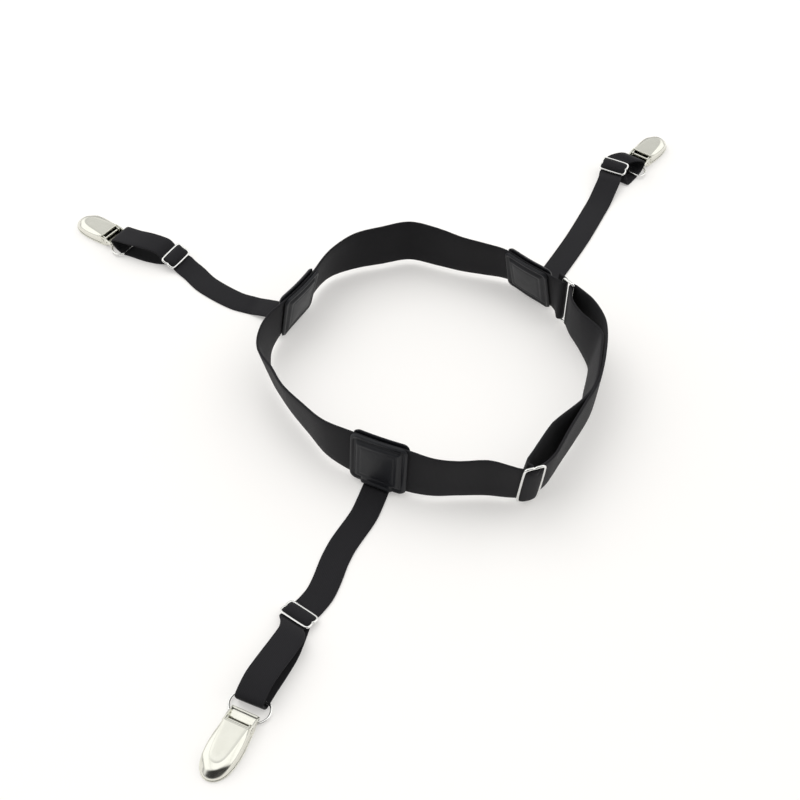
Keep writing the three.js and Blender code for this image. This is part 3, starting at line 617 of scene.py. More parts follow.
def patch_heights(u, v, outer):
    """Bottom and top of the leaf over the band's face."""
    inside = edge_distance(u, v)
    lift = patch_lift(u, v, inside, outer)
    rim = RIM_HEIGHT * smooth(inside, *RIM_UP) * (1 - smooth(inside, *RIM_DOWN))
    groove = pressed_line(inside, GROOVE_PLACE, GROOVE_DEPTH)
    inner_line = pressed_line(inside, INNER_LINE_PLACE, INNER_LINE_DEPTH)
    crown = CROWN_HEIGHT * smooth(inside, *CROWN_UP)
    past_edge = smooth(inside, 0, EDGE_ROUND)
    top = lift + LEATHER + rim + groove - EDGE_TOP * (1 - past_edge ** 0.6) + crown + inner_line
    return lift + EDGE_BOTTOM * (1 - past_edge), top


def patch_leaf(name, node, outer, start, facing):
    even = np.linspace(-1, 1, PATCH_LINES)
    lines = CROWDING * np.sin(even * math.pi / 2) + (1 - CROWDING) * even
    sheets = [[], []]
    for share_u in lines:
        u = share_u * PATCH_HALF
        p, w, n = band.at(start + u)
        n = n * facing
        corner = max(0.0, abs(u) - (PATCH_HALF - PATCH_CORNER))
        reach = PATCH_HALF - PATCH_CORNER + math.sqrt(max(PATCH_CORNER ** 2 - corner ** 2, 0))
        for share_v in lines:
            v = share_v * reach
            heights = patch_heights(u, v, outer)
            for sheet, height in zip(sheets, heights):
                sheet.append(p + w * v + n * (band.thickness / 2 + LAY_GAP + height))
    count = PATCH_LINES * PATCH_LINES
    faces = grid_faces(PATCH_LINES, PATCH_LINES)
    faces += [tuple(reversed([i + count for i in face])) for face in faces]
    for a, b in grid_border(PATCH_LINES, PATCH_LINES):
        faces.append((a, a + count, b + count, b))
    points = sheets[0] + sheets[1]
    add_piece(name, points, face_out(points, faces), leather, ROOT, [node])


def node_middle(node):
    low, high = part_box(node)
    return (np.array(low) + np.array(high)) / 2


for side in SIDES:
    outer_middle = node_middle(f"patch_{side}_outer")
    inner_middle = node_middle(f"patch_{side}_inner")
    start = band.nearest((outer_middle + inner_middle) / 2)
    _, _, normal = band.at(start)
    outwards = float(np.sign(np.dot(normal, outer_middle - inner_middle)))
    patch_leaf(f"patch_leather_{side}_outer", f"patch_{side}_outer", True, start, outwards)
    patch_leaf(f"patch_leather_{side}_inner", f"patch_{side}_inner", False, start, -outwards)
    print(side, "patch at", round(start / MM), "mm along the band")

# %% [markdown]
# ## Bent wire
#
# The sliders, the D-rings and the link are bent from round wire. The CAD frames give each
# one's place and lie: the mesh's own axes are the long bar, the short side and the flat's
# normal. The wire is swept round again with a finer section, and the sliders' ends pinch
# in where they carry the middle bar, which is what the photo shows as a small notch.

# %% Wire sweeps
STRAP_WIRE = 1.3 * MM
BAND_WIRE = 1.6 * MM
WIRE_SIDES = 14


def node_axes(node):
    """Middle and three own directions of a flat node, from its longest to its thinnest."""
    mesh = frame["nodes"][node].data
    points = np.unique(np.round([tuple(v.co) for v in mesh.vertices], 7), axis=0)
    middle = points.mean(axis=0)
    _, directions = np.linalg.eigh(np.cov((points - middle).T))
    axes = [directions[:, 2], directions[:, 1], directions[:, 0]]
    spans = [(points - middle) @ axis for axis in axes]
    middle = middle + sum(axis * (span.min() + span.max()) / 2 for axis, span in zip(axes, spans))
    return middle, axes, [span.max() - span.min() for span in spans]


def sweep(path, radius, plane_normal, closed=True):
    """A round wire along points that lie in one plane."""
    path = np.asarray(path)
    if closed:
        tangents = np.roll(path, -1, axis=0) - np.roll(path, 1, axis=0)
    else:
        tangents = np.gradient(path, axis=0)
    points = []
    for p, t in zip(path, tangents):
        side = unit(np.cross(unit(t), plane_normal))
        for k in range(WIRE_SIDES):
            angle = 2 * math.pi * k / WIRE_SIDES
            points.append(p + radius * (math.cos(angle) * side + math.sin(angle) * plane_normal))
    faces = grid_faces(len(path), WIRE_SIDES, close_columns=True, close_rows=closed)
    if not closed:
        faces.append(tuple(range(WIRE_SIDES)))
        faces.append(tuple(reversed(range((len(path) - 1) * WIRE_SIDES, len(path) * WIRE_SIDES))))
    return points, face_out(points, faces)


def joined(parts):
    points, faces = [], []
    for some_points, some_faces in parts:
        shift = len(points)
        points += list(some_points)
        faces += [tuple(i + shift for i in face) for face in some_faces]
    return points, faces


# %% Sliders
SLIDER_NOTCH = 0.75 * MM
NOTCH_ROWS = [(1.0, 0.0), (0.6, 0.09), (0.1, 0.21), (0.0, 0.34)]
SLIDER_CORNER = 0.36
FINE_STEP = 0.6 * MM


def slider_outline(half_long, half_short):
    """A rectangle with round corners, its two ends pinched in at the middle bar."""
    quarter = [(half_long - SLIDER_NOTCH * depth, half_short * along) for depth, along in NOTCH_ROWS]
    corner = half_short * SLIDER_CORNER
    for angle in (0, 30, 60, 90):
        a = math.radians(angle)
        quarter.append((half_long - corner * (1 - math.cos(a)), half_short - corner * (1 - math.sin(a))))
    upper_left = [(-x, y) for x, y in reversed(quarter)]
    lower_left = [(-x, -y) for x, y in quarter[1:]]
    lower_right = [(x, -y) for x, y in reversed(quarter[1:])]
    return quarter + upper_left + lower_left + lower_right


def slider_piece(name, node, diameter):
    middle, (long, short, flat), spans = node_axes(node)
    half_long = spans[0] / 2 - diameter / 2
    half_short = spans[1] / 2 - diameter / 2
    outline = slider_outline(half_long, half_short)
    path, _ = spline([middle + long * x + short * y for x, y in outline], closed=True, step=FINE_STEP)
    bar_half = half_long - SLIDER_NOTCH
    bar = np.array([middle + long * x for x in np.linspace(-bar_half, bar_half, 8)])
    parts = [sweep(path, diameter / 2, flat), sweep(bar, diameter / 2, flat, closed=False)]
    points, faces = joined(parts)
    add_piece(name, points, faces, wire, ROOT, [node])
    print(name, "spans in mm:", [round(span / MM, 1) for span in spans])


slider_piece("band_slider_wire", "band_slider", BAND_WIRE)
for side in SIDES:
    slider_piece("slider_wire_" + side, "slider_" + side, STRAP_WIRE)

# %% [markdown]
# ## Webbing turned round the middle bars
#
# Where the webbing ends it is sewn round the slider's middle bar, and it stands out of the
# frame as a soft roll that fills the opening from wire to wire. The CAD strip passes the
# slider flat, so each roll is a piece of its own: a long pillow with blunt ends, lying in
# the frame's own axes.

# %% Rolls in the sliders
ROLL_SECTION = 20
ROLL_ROWS = 25
ROLL_BLUNTNESS = 9
ROLL_FULLNESS = 0.8
ROLL_END = 0.80
WIRE_CLEAR = 0.85 * STRAP_WIRE
BAND_ROLL = {"width": 31.4 * MM, "height": 2.7 * MM, "depth": 1.3 * MM, "drop": 0.9 * MM}
STRAP_ROLL = {"width": 16.0 * MM, "height": 2.1 * MM, "depth": 0.9 * MM}


def webbing_roll(name, node, outwards, width, height, depth, drop=0.0):
    """A pillow along the middle bar. A drop moves it down along the bar."""
    middle, (long, short, flat), spans = node_axes(node)
    if np.dot(flat, outwards) < 0:
        flat = -flat
    if long[2] > 0:
        long = -long
    half_short = spans[1] / 2 - WIRE_CLEAR
    points, uvs = [], []
    for i in range(ROLL_ROWS):
        share = math.sin((i / (ROLL_ROWS - 1) - 0.5) * math.pi)
        blunt = max(0.02, 1 - abs(share) ** ROLL_BLUNTNESS) ** 0.5
        row_half = half_short * (ROLL_END + (1 - ROLL_END) * blunt)
        for k in range(ROLL_SECTION):
            turn = 2 * math.pi * k / ROLL_SECTION
            y = math.copysign(abs(math.cos(turn)) ** ROLL_FULLNESS, math.cos(turn)) * row_half
            z = math.sin(turn) * (height if math.sin(turn) > 0 else depth) * blunt
            points.append(middle + long * (share * width / 2 + drop) + short * y + flat * z)
            uvs.append((turn * half_short, share * width / 2))
    faces = grid_faces(ROLL_ROWS, ROLL_SECTION, close_columns=True)
    faces.append(tuple(range(ROLL_SECTION)))
    faces.append(tuple(reversed(range((ROLL_ROWS - 1) * ROLL_SECTION, ROLL_ROWS * ROLL_SECTION))))
    add_piece(name, points, face_out(points, faces), webbing, ROOT, [], uvs, sharp=WEBBING_SHARP)
    print(name, "is", round(2 * half_short / MM, 1), "mm across the bar")


webbing_roll("band_webbing_turn", "band_slider", (0.0, -1.0, 0.0), **BAND_ROLL)
for side in SIDES:
    webbing_roll("strap_webbing_turn_" + side, "slider_" + side, (0.0, 0.0, 1.0), **STRAP_ROLL)

# %% [markdown]
# ## The band's link
#
# A plain wire link joins the band's fold to its fixed end. It has no middle bar and no
# notch, so one rectangle with small round corners is all that the wire follows.

# %% Link of the band
LINK_CORNER = 1.5 * MM
LINK_TURN = 15


def link_outline(half_long, half_short):
    """A rectangle with round corners."""
    outline = []
    for sx, sy, first in ((1, 1, 0), (-1, 1, 90), (-1, -1, 180), (1, -1, 270)):
        for angle in range(first, first + 91, LINK_TURN):
            a = math.radians(angle)
            outline.append((sx * (half_long - LINK_CORNER) + LINK_CORNER * math.cos(a),
                            sy * (half_short - LINK_CORNER) + LINK_CORNER * math.sin(a)))
    return outline


middle, (long, short, flat), spans = node_axes("band_ring")
outline = link_outline(spans[0] / 2 - BAND_WIRE / 2, spans[1] / 2 - BAND_WIRE / 2)
points, faces = sweep([middle + long * x + short * y for x, y in outline], BAND_WIRE / 2, flat)
add_piece("band_link_wire", points, faces, wire, ROOT, ["band_ring"])
print("link spans in mm:", [round(span / MM, 1) for span in spans])

# %% [markdown]
# ## Garter clips
#
# A clip is pressed from nickel-plated steel: a base with a tongue, two ears and a raised
# bar for the D-ring, a small toothed jaw, a pin, and the domed cover that is the lever.
# Each clip's frame comes from its hinge: the axis is x, the tip lies along y, and the pin
# is at a known place in it. The cover is a shell between an outer skin, drawn as rings
# from the rim over a round shoulder and a bevel to the flat U of its top, and the same
# skin moved inwards.

# %% Clip frames
PIN_Y = -1.3
PIN_Z = 4.2
CLIP_LENGTH = 27.5
CLIP_HALF = 7.4
BELLY_HALF = 8.5
COVER_RIM = 1.2
COVER_TOP = 6.9
COVER_FALL = 1.5
COVER_THICK = 0.7
PLATE_THICK = 0.9
EAR_THICK = 0.9


def clip_frame(side):
    hinge = next(j for j in frame["joints"] if j["child"] == side + "_lever")
    across = unit(hinge["axis"])
    up = np.array([0.0, 0.0, 1.0])
    ahead = np.cross(up, across)
    origin = np.array(hinge["pos_m"]) - (ahead * PIN_Y + up * PIN_Z) * MM
    return origin, across, ahead, up


clips = {side: clip_frame(side) for side in SIDES}
for side, (origin, _, ahead, _) in clips.items():
    print(side, "clip at mm", np.round(origin / MM, 1), "points along", np.round(ahead, 2))


def placed(side, local):
    """Clip-local millimetres to metres in the shared frame."""
    origin, across, ahead, up = clips[side]
    return [origin + (across * x + ahead * y + up * z) * MM for x, y, z in local]


# %% [markdown]
# ## The cover's shape
#
# The cover is widest in its middle and ends in a round tip. Half of its edge is drawn as
# a few rows of half width and distance from the rear, both as shares of the clip, and a
# curve through them gives the rest. A mirror makes the other half.

# %% Cover outline
OUTLINE_ROWS = [
    # half width, distance from the rear
    (0.510, 0.00), (0.518, 0.06), (0.532, 0.12), (0.549, 0.20), (0.563, 0.28), (0.572, 0.36),
    (0.574, 0.43), (0.572, 0.50), (0.563, 0.57), (0.545, 0.645), (0.518, 0.72), (0.476, 0.79),
    (0.412, 0.855), (0.332, 0.91), (0.236, 0.955), (0.122, 0.985), (0.0, 0.995),
]
WIDEST = max(share for share, _ in OUTLINE_ROWS)
OUTLINE_STEP = 0.9


def half_curve(rows, step):
    """A smooth curve from the rear to the tip, which lies on the middle line."""
    mirrored = (-rows[-2][0], rows[-2][1], 0.0)
    curve, _ = spline(rows + [mirrored], step=step)
    tip = int(np.argmin(abs(curve[:, 0])))
    curve = curve[:tip + 1]
    curve[-1, 0] = 0.0
    return curve


def both_halves(half):
    return np.vstack([half, half[:-1][::-1] * (-1, 1, 1)])


def half_outline():
    """The cover's edge, with its belly swollen to the right width."""
    swell = BELLY_HALF / (CLIP_HALF * 2 * WIDEST)
    rows = []
    for share, y in OUTLINE_ROWS:
        x = share * CLIP_HALF * 2
        if share > 0.5:
            x = CLIP_HALF + (x - CLIP_HALF) * swell
        rows.append((x, y * CLIP_LENGTH, 0.0))
    return half_curve(rows, OUTLINE_STEP)


HALF_EDGE = half_outline()
EDGE = both_halves(HALF_EDGE)
print("cover edge:", len(EDGE), "columns, half width in mm:", round(EDGE[:, 0].max(), 2))

# %% [markdown]
# ## The cover's skin
#
# The flat of the top is a tapered U. Between it and the edge the sides rise steeply to a
# broad bevel, while the tip rises in a long slope. One list of rows gives both, as shares
# of the way in and of the height, and each column takes its own mix of the two.

# %% Cover skin
SPINE_END = 0.56 * CLIP_LENGTH
TIP_STARTS = 0.66
TIP_FULL = 0.93
DISH = 0.08
DISH_SLOPE = 8
PANEL_STEP = 0.4
PANEL_ROWS = [
    # half width, distance from the rear
    (0.440, 0.0), (0.415, 0.10), (0.385, 0.24), (0.355, 0.38),
    (0.315, 0.52), (0.250, 0.65), (0.140, 0.73), (0.0, 0.755),
]
SKIN_ROWS = [
    # side in, side up, tip in, tip up
    (0.000, 0.00, 0.00, 0.00),
    (0.012, 0.13, 0.01, 0.09),
    (0.025, 0.27, 0.03, 0.17),
    (0.045, 0.41, 0.06, 0.24),
    (0.080, 0.54, 0.12, 0.33),
    (0.130, 0.645, 0.20, 0.44),
    (0.200, 0.72, 0.29, 0.56),
    (0.300, 0.785, 0.38, 0.68),
    (0.410, 0.830, 0.46, 0.77),
    (0.540, 0.875, 0.55, 0.835),
    (0.680, 0.922, 0.65, 0.885),
    (0.830, 0.965, 0.78, 0.935),
    (0.950, 0.992, 0.91, 0.980),
    (1.000, 1.000, 1.00, 1.000),
]
FLAT_ROWS = [0.04, 0.12, 0.30, 0.60, 1.0]


def spread_like(curve, pattern):
    """Points along a curve, at the shares of its length that the pattern's points have of theirs."""
    def shares(line):
        steps = np.linalg.norm(np.diff(line, axis=0), axis=1)
        along = np.concatenate([[0.0], np.cumsum(steps)])
        return along / along[-1]
    wanted, own = shares(pattern), shares(curve)
    return np.column_stack([np.interp(wanted, own, curve[:, axis]) for axis in range(3)])


def half_panel():
    """The border of the flat, with a point for each point of the edge."""
    rows = [(x * CLIP_HALF * 2, y * CLIP_LENGTH, 0.0) for x, y in PANEL_ROWS]
    return spread_like(half_curve(rows, PANEL_STEP), HALF_EDGE)


PANEL = both_halves(half_panel())
print("flat of the top in mm:", np.round(PANEL.max(axis=0) - PANEL.min(axis=0), 1)[:2])


def cover_top(y):
    return COVER_TOP - COVER_FALL * y / CLIP_LENGTH


def skin_point(column, row):
    """A point between the rim and the flat of the top."""
    edge, panel = EDGE[column], PANEL[column]
    tip = smooth(edge[1] / CLIP_LENGTH, TIP_STARTS, TIP_FULL)
    side_in, side_up, tip_in, tip_up = row
    inwards = side_in + (tip_in - side_in) * tip
    up = side_up + (tip_up - side_up) * tip
    x, y, _ = edge + (panel - edge) * inwards
    return (x, y, COVER_RIM + (cover_top(panel[1]) - COVER_RIM) * up)


def flat_point(column, share):
    """A point between the border of the flat and the clip's middle line."""
    x, y, _ = PANEL[column]
    y += (min(y, SPINE_END) - y) * share
    return (x * (1 - share), y, cover_top(y) - DISH * min(1.0, share * DISH_SLOPE))


def thickened(rows, columns, points, thickness):
    """A shell: the open skin, the skin moved inwards, and the border between."""
    points = np.array(points)
    faces = grid_faces(rows, columns)
    normals = np.zeros_like(points)
    for face in faces:
        a, b, c, d = (points[i] for i in face)
        normal = np.cross(c - a, d - b)
        for i in face:
            normals[i] += normal
    lengths = np.linalg.norm(normals, axis=1)
    lengths[lengths < 1e-12] = 1.0
    inner = points - normals / lengths[:, None] * thickness
    count = len(points)
    faces = faces + [tuple(reversed([i + count for i in face])) for face in faces]
    for a, b in grid_border(rows, columns):
        faces.append((b, a, a + count, b + count))
    return np.vstack([points, inner]), faces


# %% [markdown]
# ## Plates and blocks
#
# Ears, tongue and lugs are stamped from sheet, and the jaw's teeth are cut in one. A 2-D
# curve with an extrude and a small bevel makes such a plate with its holes in one step,
# and keeps its edges soft. A modifier on a plain block could round it too, but holes
# would then need a boolean.

# %% Plate helpers
HOLE_SIDES = 24
CORNER_LIMIT = 0.45


def outline_plate(name, outline, holes, thickness, bevel):
    """A flat plate with round holes and softened edges, with its outline in x and y."""
    curve = bpy.data.curves.new(name, "CURVE")
    curve.dimensions = "2D"
    curve.fill_mode = "BOTH"
    curve.extrude = thickness / 2 - bevel
    curve.bevel_depth = bevel
    curve.offset = -bevel
    curve.bevel_resolution = 2
    loops = [outline]
    for x, y, radius in holes:
        turn = [2 * math.pi * k / HOLE_SIDES for k in range(HOLE_SIDES)]
        loops.append([(x + radius * math.cos(a), y + radius * math.sin(a)) for a in turn])
    for loop in loops:
        line = curve.splines.new("POLY")
        line.points.add(len(loop) - 1)
        for point, (x, y) in zip(line.points, loop):
            point.co = (x, y, 0, 1)
        line.use_cyclic_u = True
    holder = bpy.data.objects.new(name, curve)
    mesh = bpy.data.meshes.new_from_object(holder)
    points = [tuple(v.co) for v in mesh.vertices]
    faces = [tuple(p.vertices) for p in mesh.polygons]
    bpy.data.objects.remove(holder)
    bpy.data.curves.remove(curve)
    bpy.data.meshes.remove(mesh)
    return points, faces


def rounded_box(low, high, bevel):
    """A box with softened edges, from a plate along z."""
    middle = [(a + b) / 2 for a, b in zip(low, high)]
    outline = [(low[0], low[1]), (high[0], low[1]), (high[0], high[1]), (low[0], high[1])]
    points, faces = outline_plate("block", outline, [], high[2] - low[2], bevel)
    return [(x, y, z + middle[2]) for x, y, z in points], faces


def corner_round(outline, radius, steps=4):
    """Rounds each corner of an outline."""
    rounded = []
    count = len(outline)
    for i, corner in enumerate(outline):
        before = np.array(outline[i - 1], dtype=float)
        after = np.array(outline[(i + 1) % count], dtype=float)
        corner = np.array(corner, dtype=float)
        shorter = min(np.linalg.norm(before - corner), np.linalg.norm(after - corner))
        reach = min(radius, CORNER_LIMIT * shorter)
        a = corner + unit(before - corner) * reach
        b = corner + unit(after - corner) * reach
        for k in range(steps + 1):
            t = k / steps
            rounded.append(tuple((1 - t) ** 2 * a + 2 * t * (1 - t) * corner + t * t * b))
    return rounded


# %% [markdown]
# ## The base and the jaw
#
# The ears carry the pin, hold the raised bar for the D-ring, and stand on the tongue. The
# tongue follows the cover's edge with a narrow rim, so it is drawn from that edge. The
# jaw hides under the cover: a bar with a row of teeth across its front end.

# %% Ears and lugs
EAR_REACH = 1.6
EAR_TOP = 5.8
EAR_CORNER = 0.7
EAR_BEVEL = 0.15
TAIL = 8.4
BAR_LOW = 2.9
BAR_HEIGHT = 1.5
BAR_DEPTH = 1.2
BAR_BEVEL = 0.3
BAR_INSET = 0.2
PLATE_REAR = -3.0
PIN_RADIUS = 0.6
PIN_HOLE = 0.85
REAR_HOLE = 0.5
LUG_REACH = PIN_RADIUS + 1.1
LUG_FRONT = 3.0
LUG_CORNER = 1.2
LUG_THICK = 0.8
LUG_BEVEL = 0.12

EAR_OUTLINE = corner_round([
    (PLATE_REAR, 0.0),
    (EAR_REACH, 0.0),
    (EAR_REACH, PIN_Z - 0.6),
    (EAR_REACH - 1.1, EAR_TOP),
    (PIN_Y - 1.8, EAR_TOP),
    (-TAIL, BAR_LOW + BAR_HEIGHT),
    (-TAIL, BAR_LOW),
    (PLATE_REAR - 2.4, BAR_LOW - 0.3),
], EAR_CORNER)
EAR_HOLES = [(PIN_Y, PIN_Z, PIN_HOLE), (PLATE_REAR - 1.6, PIN_Z - 0.6, REAR_HOLE)]
LUG_OUTLINE = corner_round([
    (PIN_Y - LUG_REACH, PIN_Z - LUG_REACH * 0.6),
    (PIN_Y, PIN_Z - LUG_REACH),
    (LUG_FRONT, PIN_Z - 0.5),
    (LUG_FRONT, COVER_TOP - 0.6),
    (PIN_Y, PIN_Z + LUG_REACH),
    (PIN_Y - LUG_REACH, PIN_Z + LUG_REACH * 0.6),
], LUG_CORNER)
print("ear outline:", len(EAR_OUTLINE), "points, lug outline:", len(LUG_OUTLINE), "points")


def upright(plate, x_middle):
    """Stands a plate up across the clip: its x runs ahead and its y up."""
    points, faces = plate
    return [(x_middle + z, x, y) for x, y, z in points], faces


# %% Tongue and jaw
TONGUE_RIM = 0.3
TONGUE_START = 1.9
TONGUE_BEVEL = 0.2
JAW_FRONT = 0.86 * CLIP_LENGTH
JAW_HALF = 4.25
JAW_LENGTH = 12
JAW_THICK = 0.9
JAW_TOP = PLATE_THICK + JAW_THICK
JAW_BEVEL = 0.15
TEETH = 5
TOOTH_HALF_PITCH = JAW_HALF / TEETH
TOOTH_HEIGHT = 1.0
TOOTH_DEPTH = 1.6
TOOTH_BEVEL = 0.05
TEETH_LOW = PLATE_THICK + 0.1


def base_outline():
    """The cover's edge with a rim round it, and straight sides at the rear."""
    spread = 1 + TONGUE_RIM / CLIP_HALF
    stretch = (CLIP_LENGTH + TONGUE_RIM) / CLIP_LENGTH
    rim = [(x * spread, y * stretch) for x, y, _ in EDGE]
    return [(CLIP_HALF, PLATE_REAR)] + [p for p in rim if p[1] > TONGUE_START] + [(-CLIP_HALF, PLATE_REAR)]


def jaw_parts():
    """A bar on the tongue, and a row of teeth across its front end."""
    low = (-JAW_HALF, JAW_FRONT - JAW_LENGTH, PLATE_THICK)
    bar = rounded_box(low, (JAW_HALF, JAW_FRONT, JAW_TOP), JAW_BEVEL)
    teeth = [(-JAW_HALF, TEETH_LOW), (JAW_HALF, TEETH_LOW)]
    for i in range(2 * TEETH, 0, -1):
        tooth = TOOTH_HEIGHT if i % 2 else 0.0
        teeth.append((-JAW_HALF + i * TOOTH_HALF_PITCH, JAW_TOP + tooth))
    teeth.append((-JAW_HALF, JAW_TOP))
    points, faces = outline_plate("teeth", teeth, [], TOOTH_DEPTH, TOOTH_BEVEL)
    return [bar, ([(x, JAW_FRONT + z - TOOTH_DEPTH / 2, y) for x, y, z in points], faces)]


# %% Cover, base and pin
LIP_RADIUS = 0.42
LIP_BACK = 0.6 * LIP_RADIUS
LIP_DOWN = 0.55 * LIP_RADIUS
LIP_STARTS = 3
LUG_GAP = 0.7
PIN_END = 0.05
CURL_THICK = 0.5
CURL_STEP = 0.35
CURL_ROWS = [
    # distance along the clip, height
    (-2.65, 0.45), (-2.68, 1.20), (-2.78, 1.85), (-3.05, 2.40), (-3.55, 2.78),
    (-4.30, 2.98), (-5.20, 3.10), (-6.10, 3.28), (-6.90, 3.62), (-7.50, 4.15),
]


def cover_parts():
    """The skin, thickened to a shell, and the rolled lip along its rear edge."""
    columns = len(EDGE)
    points = [skin_point(column, row) for row in SKIN_ROWS for column in range(columns)]
    points += [flat_point(column, share) for share in FLAT_ROWS for column in range(columns)]
    rows = len(SKIN_ROWS) + len(FLAT_ROWS)
    shell = thickened(rows, columns, points, COVER_THICK)
    left = [points[i * columns] for i in range(LIP_STARTS, rows)]
    right = [points[i * columns + columns - 1] for i in range(LIP_STARTS, rows - 1)]
    rear = np.array(left + right[::-1]) + (0.0, LIP_BACK, -LIP_DOWN)
    lip = sweep(rear, LIP_RADIUS, np.array([0.0, 1.0, 0.0]), closed=False)
    lug_middle = CLIP_HALF - EAR_THICK - LUG_GAP
    lug = outline_plate("lug", LUG_OUTLINE, [], LUG_THICK, LUG_BEVEL)
    return [shell, lip] + [upright(lug, sign * lug_middle) for sign in (-1, 1)]


def curl_parts():
    """The sheet that rises from the tongue's rear edge and runs back over the ring to the bar."""
    rows, _ = spline([(0.0, y, z) for y, z in CURL_ROWS], step=CURL_STEP)
    half = CLIP_HALF - EAR_THICK
    points = []
    for i, here in enumerate(rows):
        before, after = rows[max(i - 1, 0)], rows[min(i + 1, len(rows) - 1)]
        normal = unit(np.cross(unit(after - before), (1.0, 0.0, 0.0))) * CURL_THICK / 2
        points += [here - (half, 0, 0) + normal, here + (half, 0, 0) + normal,
                   here + (half, 0, 0) - normal, here - (half, 0, 0) - normal]
    faces = grid_faces(len(rows), 4, close_columns=True)
    faces += [(0, 1, 2, 3), tuple(reversed(range(len(points) - 4, len(points))))]
    return [(points, face_out(points, faces))]


def base_parts():
    """Tongue, two ears, the curled sheet and the raised bar."""
    points, faces = outline_plate("tongue", base_outline(), [], PLATE_THICK, TONGUE_BEVEL)
    tongue = ([(x, y, z + PLATE_THICK / 2) for x, y, z in points], faces)
    ear = outline_plate("ear", EAR_OUTLINE, EAR_HOLES, EAR_THICK, EAR_BEVEL)
    ears = [upright(ear, sign * (CLIP_HALF - EAR_THICK / 2)) for sign in (-1, 1)]
    bar_half = CLIP_HALF - BAR_INSET
    low = (-bar_half, -TAIL, BAR_LOW)
    high = (bar_half, -TAIL + BAR_DEPTH, BAR_LOW + BAR_HEIGHT)
    return [tongue, rounded_box(low, high, BAR_BEVEL)] + ears + curl_parts()


def pin_parts():
    reach = CLIP_HALF + PIN_END
    line = [(x, PIN_Y, PIN_Z) for x in np.linspace(-reach, reach, 6)]
    return [sweep(line, PIN_RADIUS, np.array([0.0, 0.0, 1.0]), closed=False)]


# %% [markdown]
# ## The three clips
#
# All clips are the same, so each kind of part is made once in the clip's own millimetres
# and placed three times. The cover rides on its lever's body and turns on the pin, and
# the other parts stay with the webbing.

# %% Clips
CLIP_PARTS = {"base": base_parts, "jaw": jaw_parts, "pin": pin_parts, "lever": cover_parts}
CLIP_SHARP = 38

for kind, make_parts in CLIP_PARTS.items():
    points, faces = joined(make_parts())
    for side in SIDES:
        body = side + "_lever" if kind == "lever" else ROOT
        name = f"clip_metal_{side}_{kind}"
        stands_for = [f"clip_{side}_{kind}"]
        add_piece(name, placed(side, points), faces, nickel, body, stands_for, sharp=CLIP_SHARP)
    print("clip", kind, "points:", len(points))

# %% [markdown]
# ## D-rings
#
# A wire ring joins each strap to its clip. It has a straight bar for the webbing, and its
# bow widens to a belly before it closes round the clip's bar. The bow is drawn from an
# angle, because a plain half circle would miss the belly.

# %% D-rings
RING_DEPTH = 12.5 * MM
RING_BELLY = 0.36
RING_BAR = 0.84
BAR_CORNER = 0.7 * MM
BOW_STEPS = 26
BOW_START = 0.4 * BAR_CORNER
RING_STEP = 0.7 * MM


def ring_outline(half, depth):
    """A straight bar and a bow that widens to a belly before it closes."""
    belly = RING_BELLY * depth
    below = belly / math.sqrt(1 - RING_BAR ** 2)
    foot = math.degrees(math.acos(RING_BAR))
    bar_end = half * RING_BAR - BAR_CORNER
    outline = [(x * bar_end, 0.0) for x in (-1, -0.5, 0, 0.5, 1)]
    for k in range(BOW_STEPS + 1):
        angle = math.radians(-foot + (180 + 2 * foot) * k / BOW_STEPS)
        rise = math.sin(angle)
        y = belly + rise * (depth - belly if rise > 0 else below)
        if k in (0, BOW_STEPS):
            y += BOW_START
        outline.append((half * math.cos(angle), y))
    return outline


for side in SIDES:
    middle, (long, short, flat), spans = node_axes("d_ring_" + side)
    if np.dot(short, clips[side][2]) < 0:
        short = -short
    half = spans[0] / 2 - STRAP_WIRE / 2
    bar_middle = middle - short * RING_DEPTH / 2
    outline = ring_outline(half, RING_DEPTH)
    path, _ = spline([bar_middle + long * x + short * y for x, y in outline], closed=True, step=RING_STEP)
    points, faces = sweep(path, STRAP_WIRE / 2, flat)
    add_piece("d_ring_wire_" + side, points, faces, wire, ROOT, ["d_ring_" + side])
    print(side, "D-ring spans in mm:", [round(span / MM, 1) for span in spans])

# %% [markdown]
# ## The floor
#
# The photo's ground is a smooth near-white sheet, with faint shadows close under the
# webbing. A plain white floor under strong light would wash them out, so the sheet is a
# middle tone that also glows a little. It reaches far out, so that low views meet it and
# not the dark below the horizon.

# %% Floor
FLOOR_HALF = 30.0
PAPER = (0.62, 0.61, 0.60, 1.0)
PAPER_GLOW = (1.0, 0.985, 0.965, 1.0)
GLOW_STRENGTH = 0.36

corners = [(sx * FLOOR_HALF, sy * FLOOR_HALF, 0) for sx, sy in ((-1, -1), (1, -1), (1, 1), (-1, 1))]
floor_mesh = bpy.data.meshes.new("floor")
floor_mesh.from_pydata(corners, [], [(0, 1, 2, 3)])
floor = bpy.data.objects.new("floor", floor_mesh)
bpy.context.scene.collection.objects.link(floor)
paper = bpy.data.materials.new("paper")
paper.use_nodes = True
paper_shader = paper.node_tree.nodes["Principled BSDF"]
paper_shader.inputs["Base Color"].default_value = PAPER
paper_shader.inputs["Emission Color"].default_value = PAPER_GLOW
paper_shader.inputs["Emission Strength"].default_value = GLOW_STRENGTH
paper_shader.inputs["Roughness"].default_value = 0.9
paper_shader.inputs["Specular IOR Level"].default_value = 0.15
floor_mesh.materials.append(paper)
print("floor is", 2 * FLOOR_HALF, "m wide")

# %% [markdown]
# ## The room
#
# Polished clips show the room more than themselves, and in an even white room they would
# turn into flat white shapes. So the room is bright at its sides and on its ceiling, dark
# behind the viewer, and a little darker near the horizon.

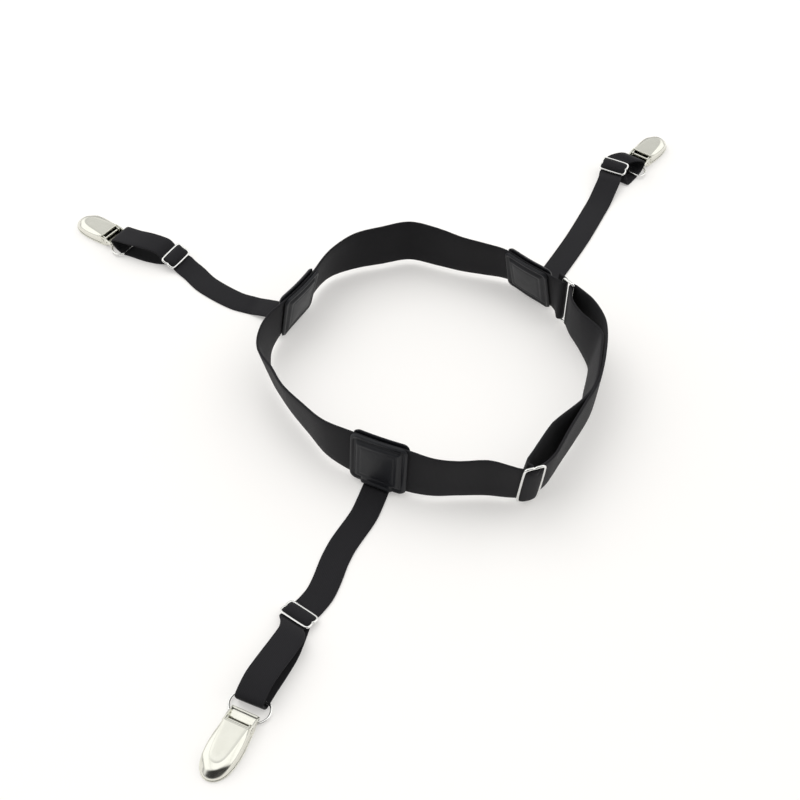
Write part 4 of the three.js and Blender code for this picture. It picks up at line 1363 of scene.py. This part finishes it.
# %% Room
WALL_LEVEL = 0.74
WINDOW_LEVEL = 0.62
WINDOW_SIDE = (0.22, 0.55)
WINDOW_HEIGHT = (0.05, 0.40)
CEILING = (0.84, 0.97)
VIEWER_SIDE = (0.28, 0.62)
VIEWER_DARKNESS = 0.96
VIEWER_HEIGHT = (0.08, 0.28)
HORIZON = (0.0, 0.20)
HORIZON_LEVEL = 0.40
ROOM_TINT = (1.0, 1.0, 0.985, 1.0)

scene = bpy.context.scene
scene.view_settings.view_transform = "Standard"
scene.world = bpy.data.worlds.new("room")
scene.world.use_nodes = True
room = scene.world.node_tree
direction = room.nodes.new("ShaderNodeTexCoord")
part = room.nodes.new("ShaderNodeSeparateXYZ")
room.links.new(direction.outputs["Generated"], part.inputs[0])


def smooth_node(tree, value, span, to_low=0.0, to_high=1.0):
    """A soft step from one level to another while the value crosses the span."""
    low, high = span
    node = tree.nodes.new("ShaderNodeMapRange")
    node.interpolation_type = "SMOOTHSTEP"
    for label, number in (("From Min", low), ("From Max", high), ("To Min", to_low), ("To Max", to_high)):
        node.inputs[label].default_value = number
    tree.links.new(value, node.inputs["Value"])
    return node.outputs["Result"]


sideways = math_node(room, "ABSOLUTE", part.outputs["X"])
windows = math_node(room, "MULTIPLY", smooth_node(room, sideways, WINDOW_SIDE),
                    smooth_node(room, part.outputs["Z"], WINDOW_HEIGHT))
bright = math_node(room, "MAXIMUM", windows, smooth_node(room, part.outputs["Z"], CEILING))
level = math_node(room, "ADD", math_node(room, "MULTIPLY", bright, WINDOW_LEVEL), WALL_LEVEL)
viewer = math_node(room, "MULTIPLY", part.outputs["Y"], -1.0)
dark = math_node(room, "MULTIPLY", smooth_node(room, viewer, VIEWER_SIDE, 0.0, VIEWER_DARKNESS),
                 smooth_node(room, part.outputs["Z"], VIEWER_HEIGHT))
level = math_node(room, "MULTIPLY", level, math_node(room, "SUBTRACT", 1.0, dark))
horizon = smooth_node(room, part.outputs["Z"], HORIZON, HORIZON_LEVEL, 1.0)
level = math_node(room, "MULTIPLY", level, horizon)
room.links.new(level, room.nodes["Background"].inputs["Strength"])
room.nodes["Background"].inputs["Color"].default_value = ROOM_TINT
print("room: walls at", WALL_LEVEL, "and windows at", WALL_LEVEL + WINDOW_LEVEL)

# %% [markdown]
# ## The light
#
# One large soft light from the far left gives the shadows their side. It is kept out of
# reflections, because as a square in the polished covers it would look like a studio's
# lamp and not like the room.

# %% Window light
WINDOW_PLACE = (-0.5, 0.9, 1.5)
WINDOW_SIZE = 1.4
WINDOW_ENERGY = 9.0

window_data = bpy.data.lights.new("window", "AREA")
window_data.shape = "SQUARE"
window_data.size = WINDOW_SIZE
window_data.energy = WINDOW_ENERGY
window = bpy.data.objects.new("window", window_data)
window.location = WINDOW_PLACE
window.rotation_euler = (-Vector(WINDOW_PLACE)).to_track_quat("-Z", "Y").to_euler()
window.visible_glossy = False
scene.collection.objects.link(window)
print("window light at", WINDOW_PLACE, "facing the middle of the part's frame")

# %% [markdown]
# ## The end
#

# %% Finish
print("scene built")
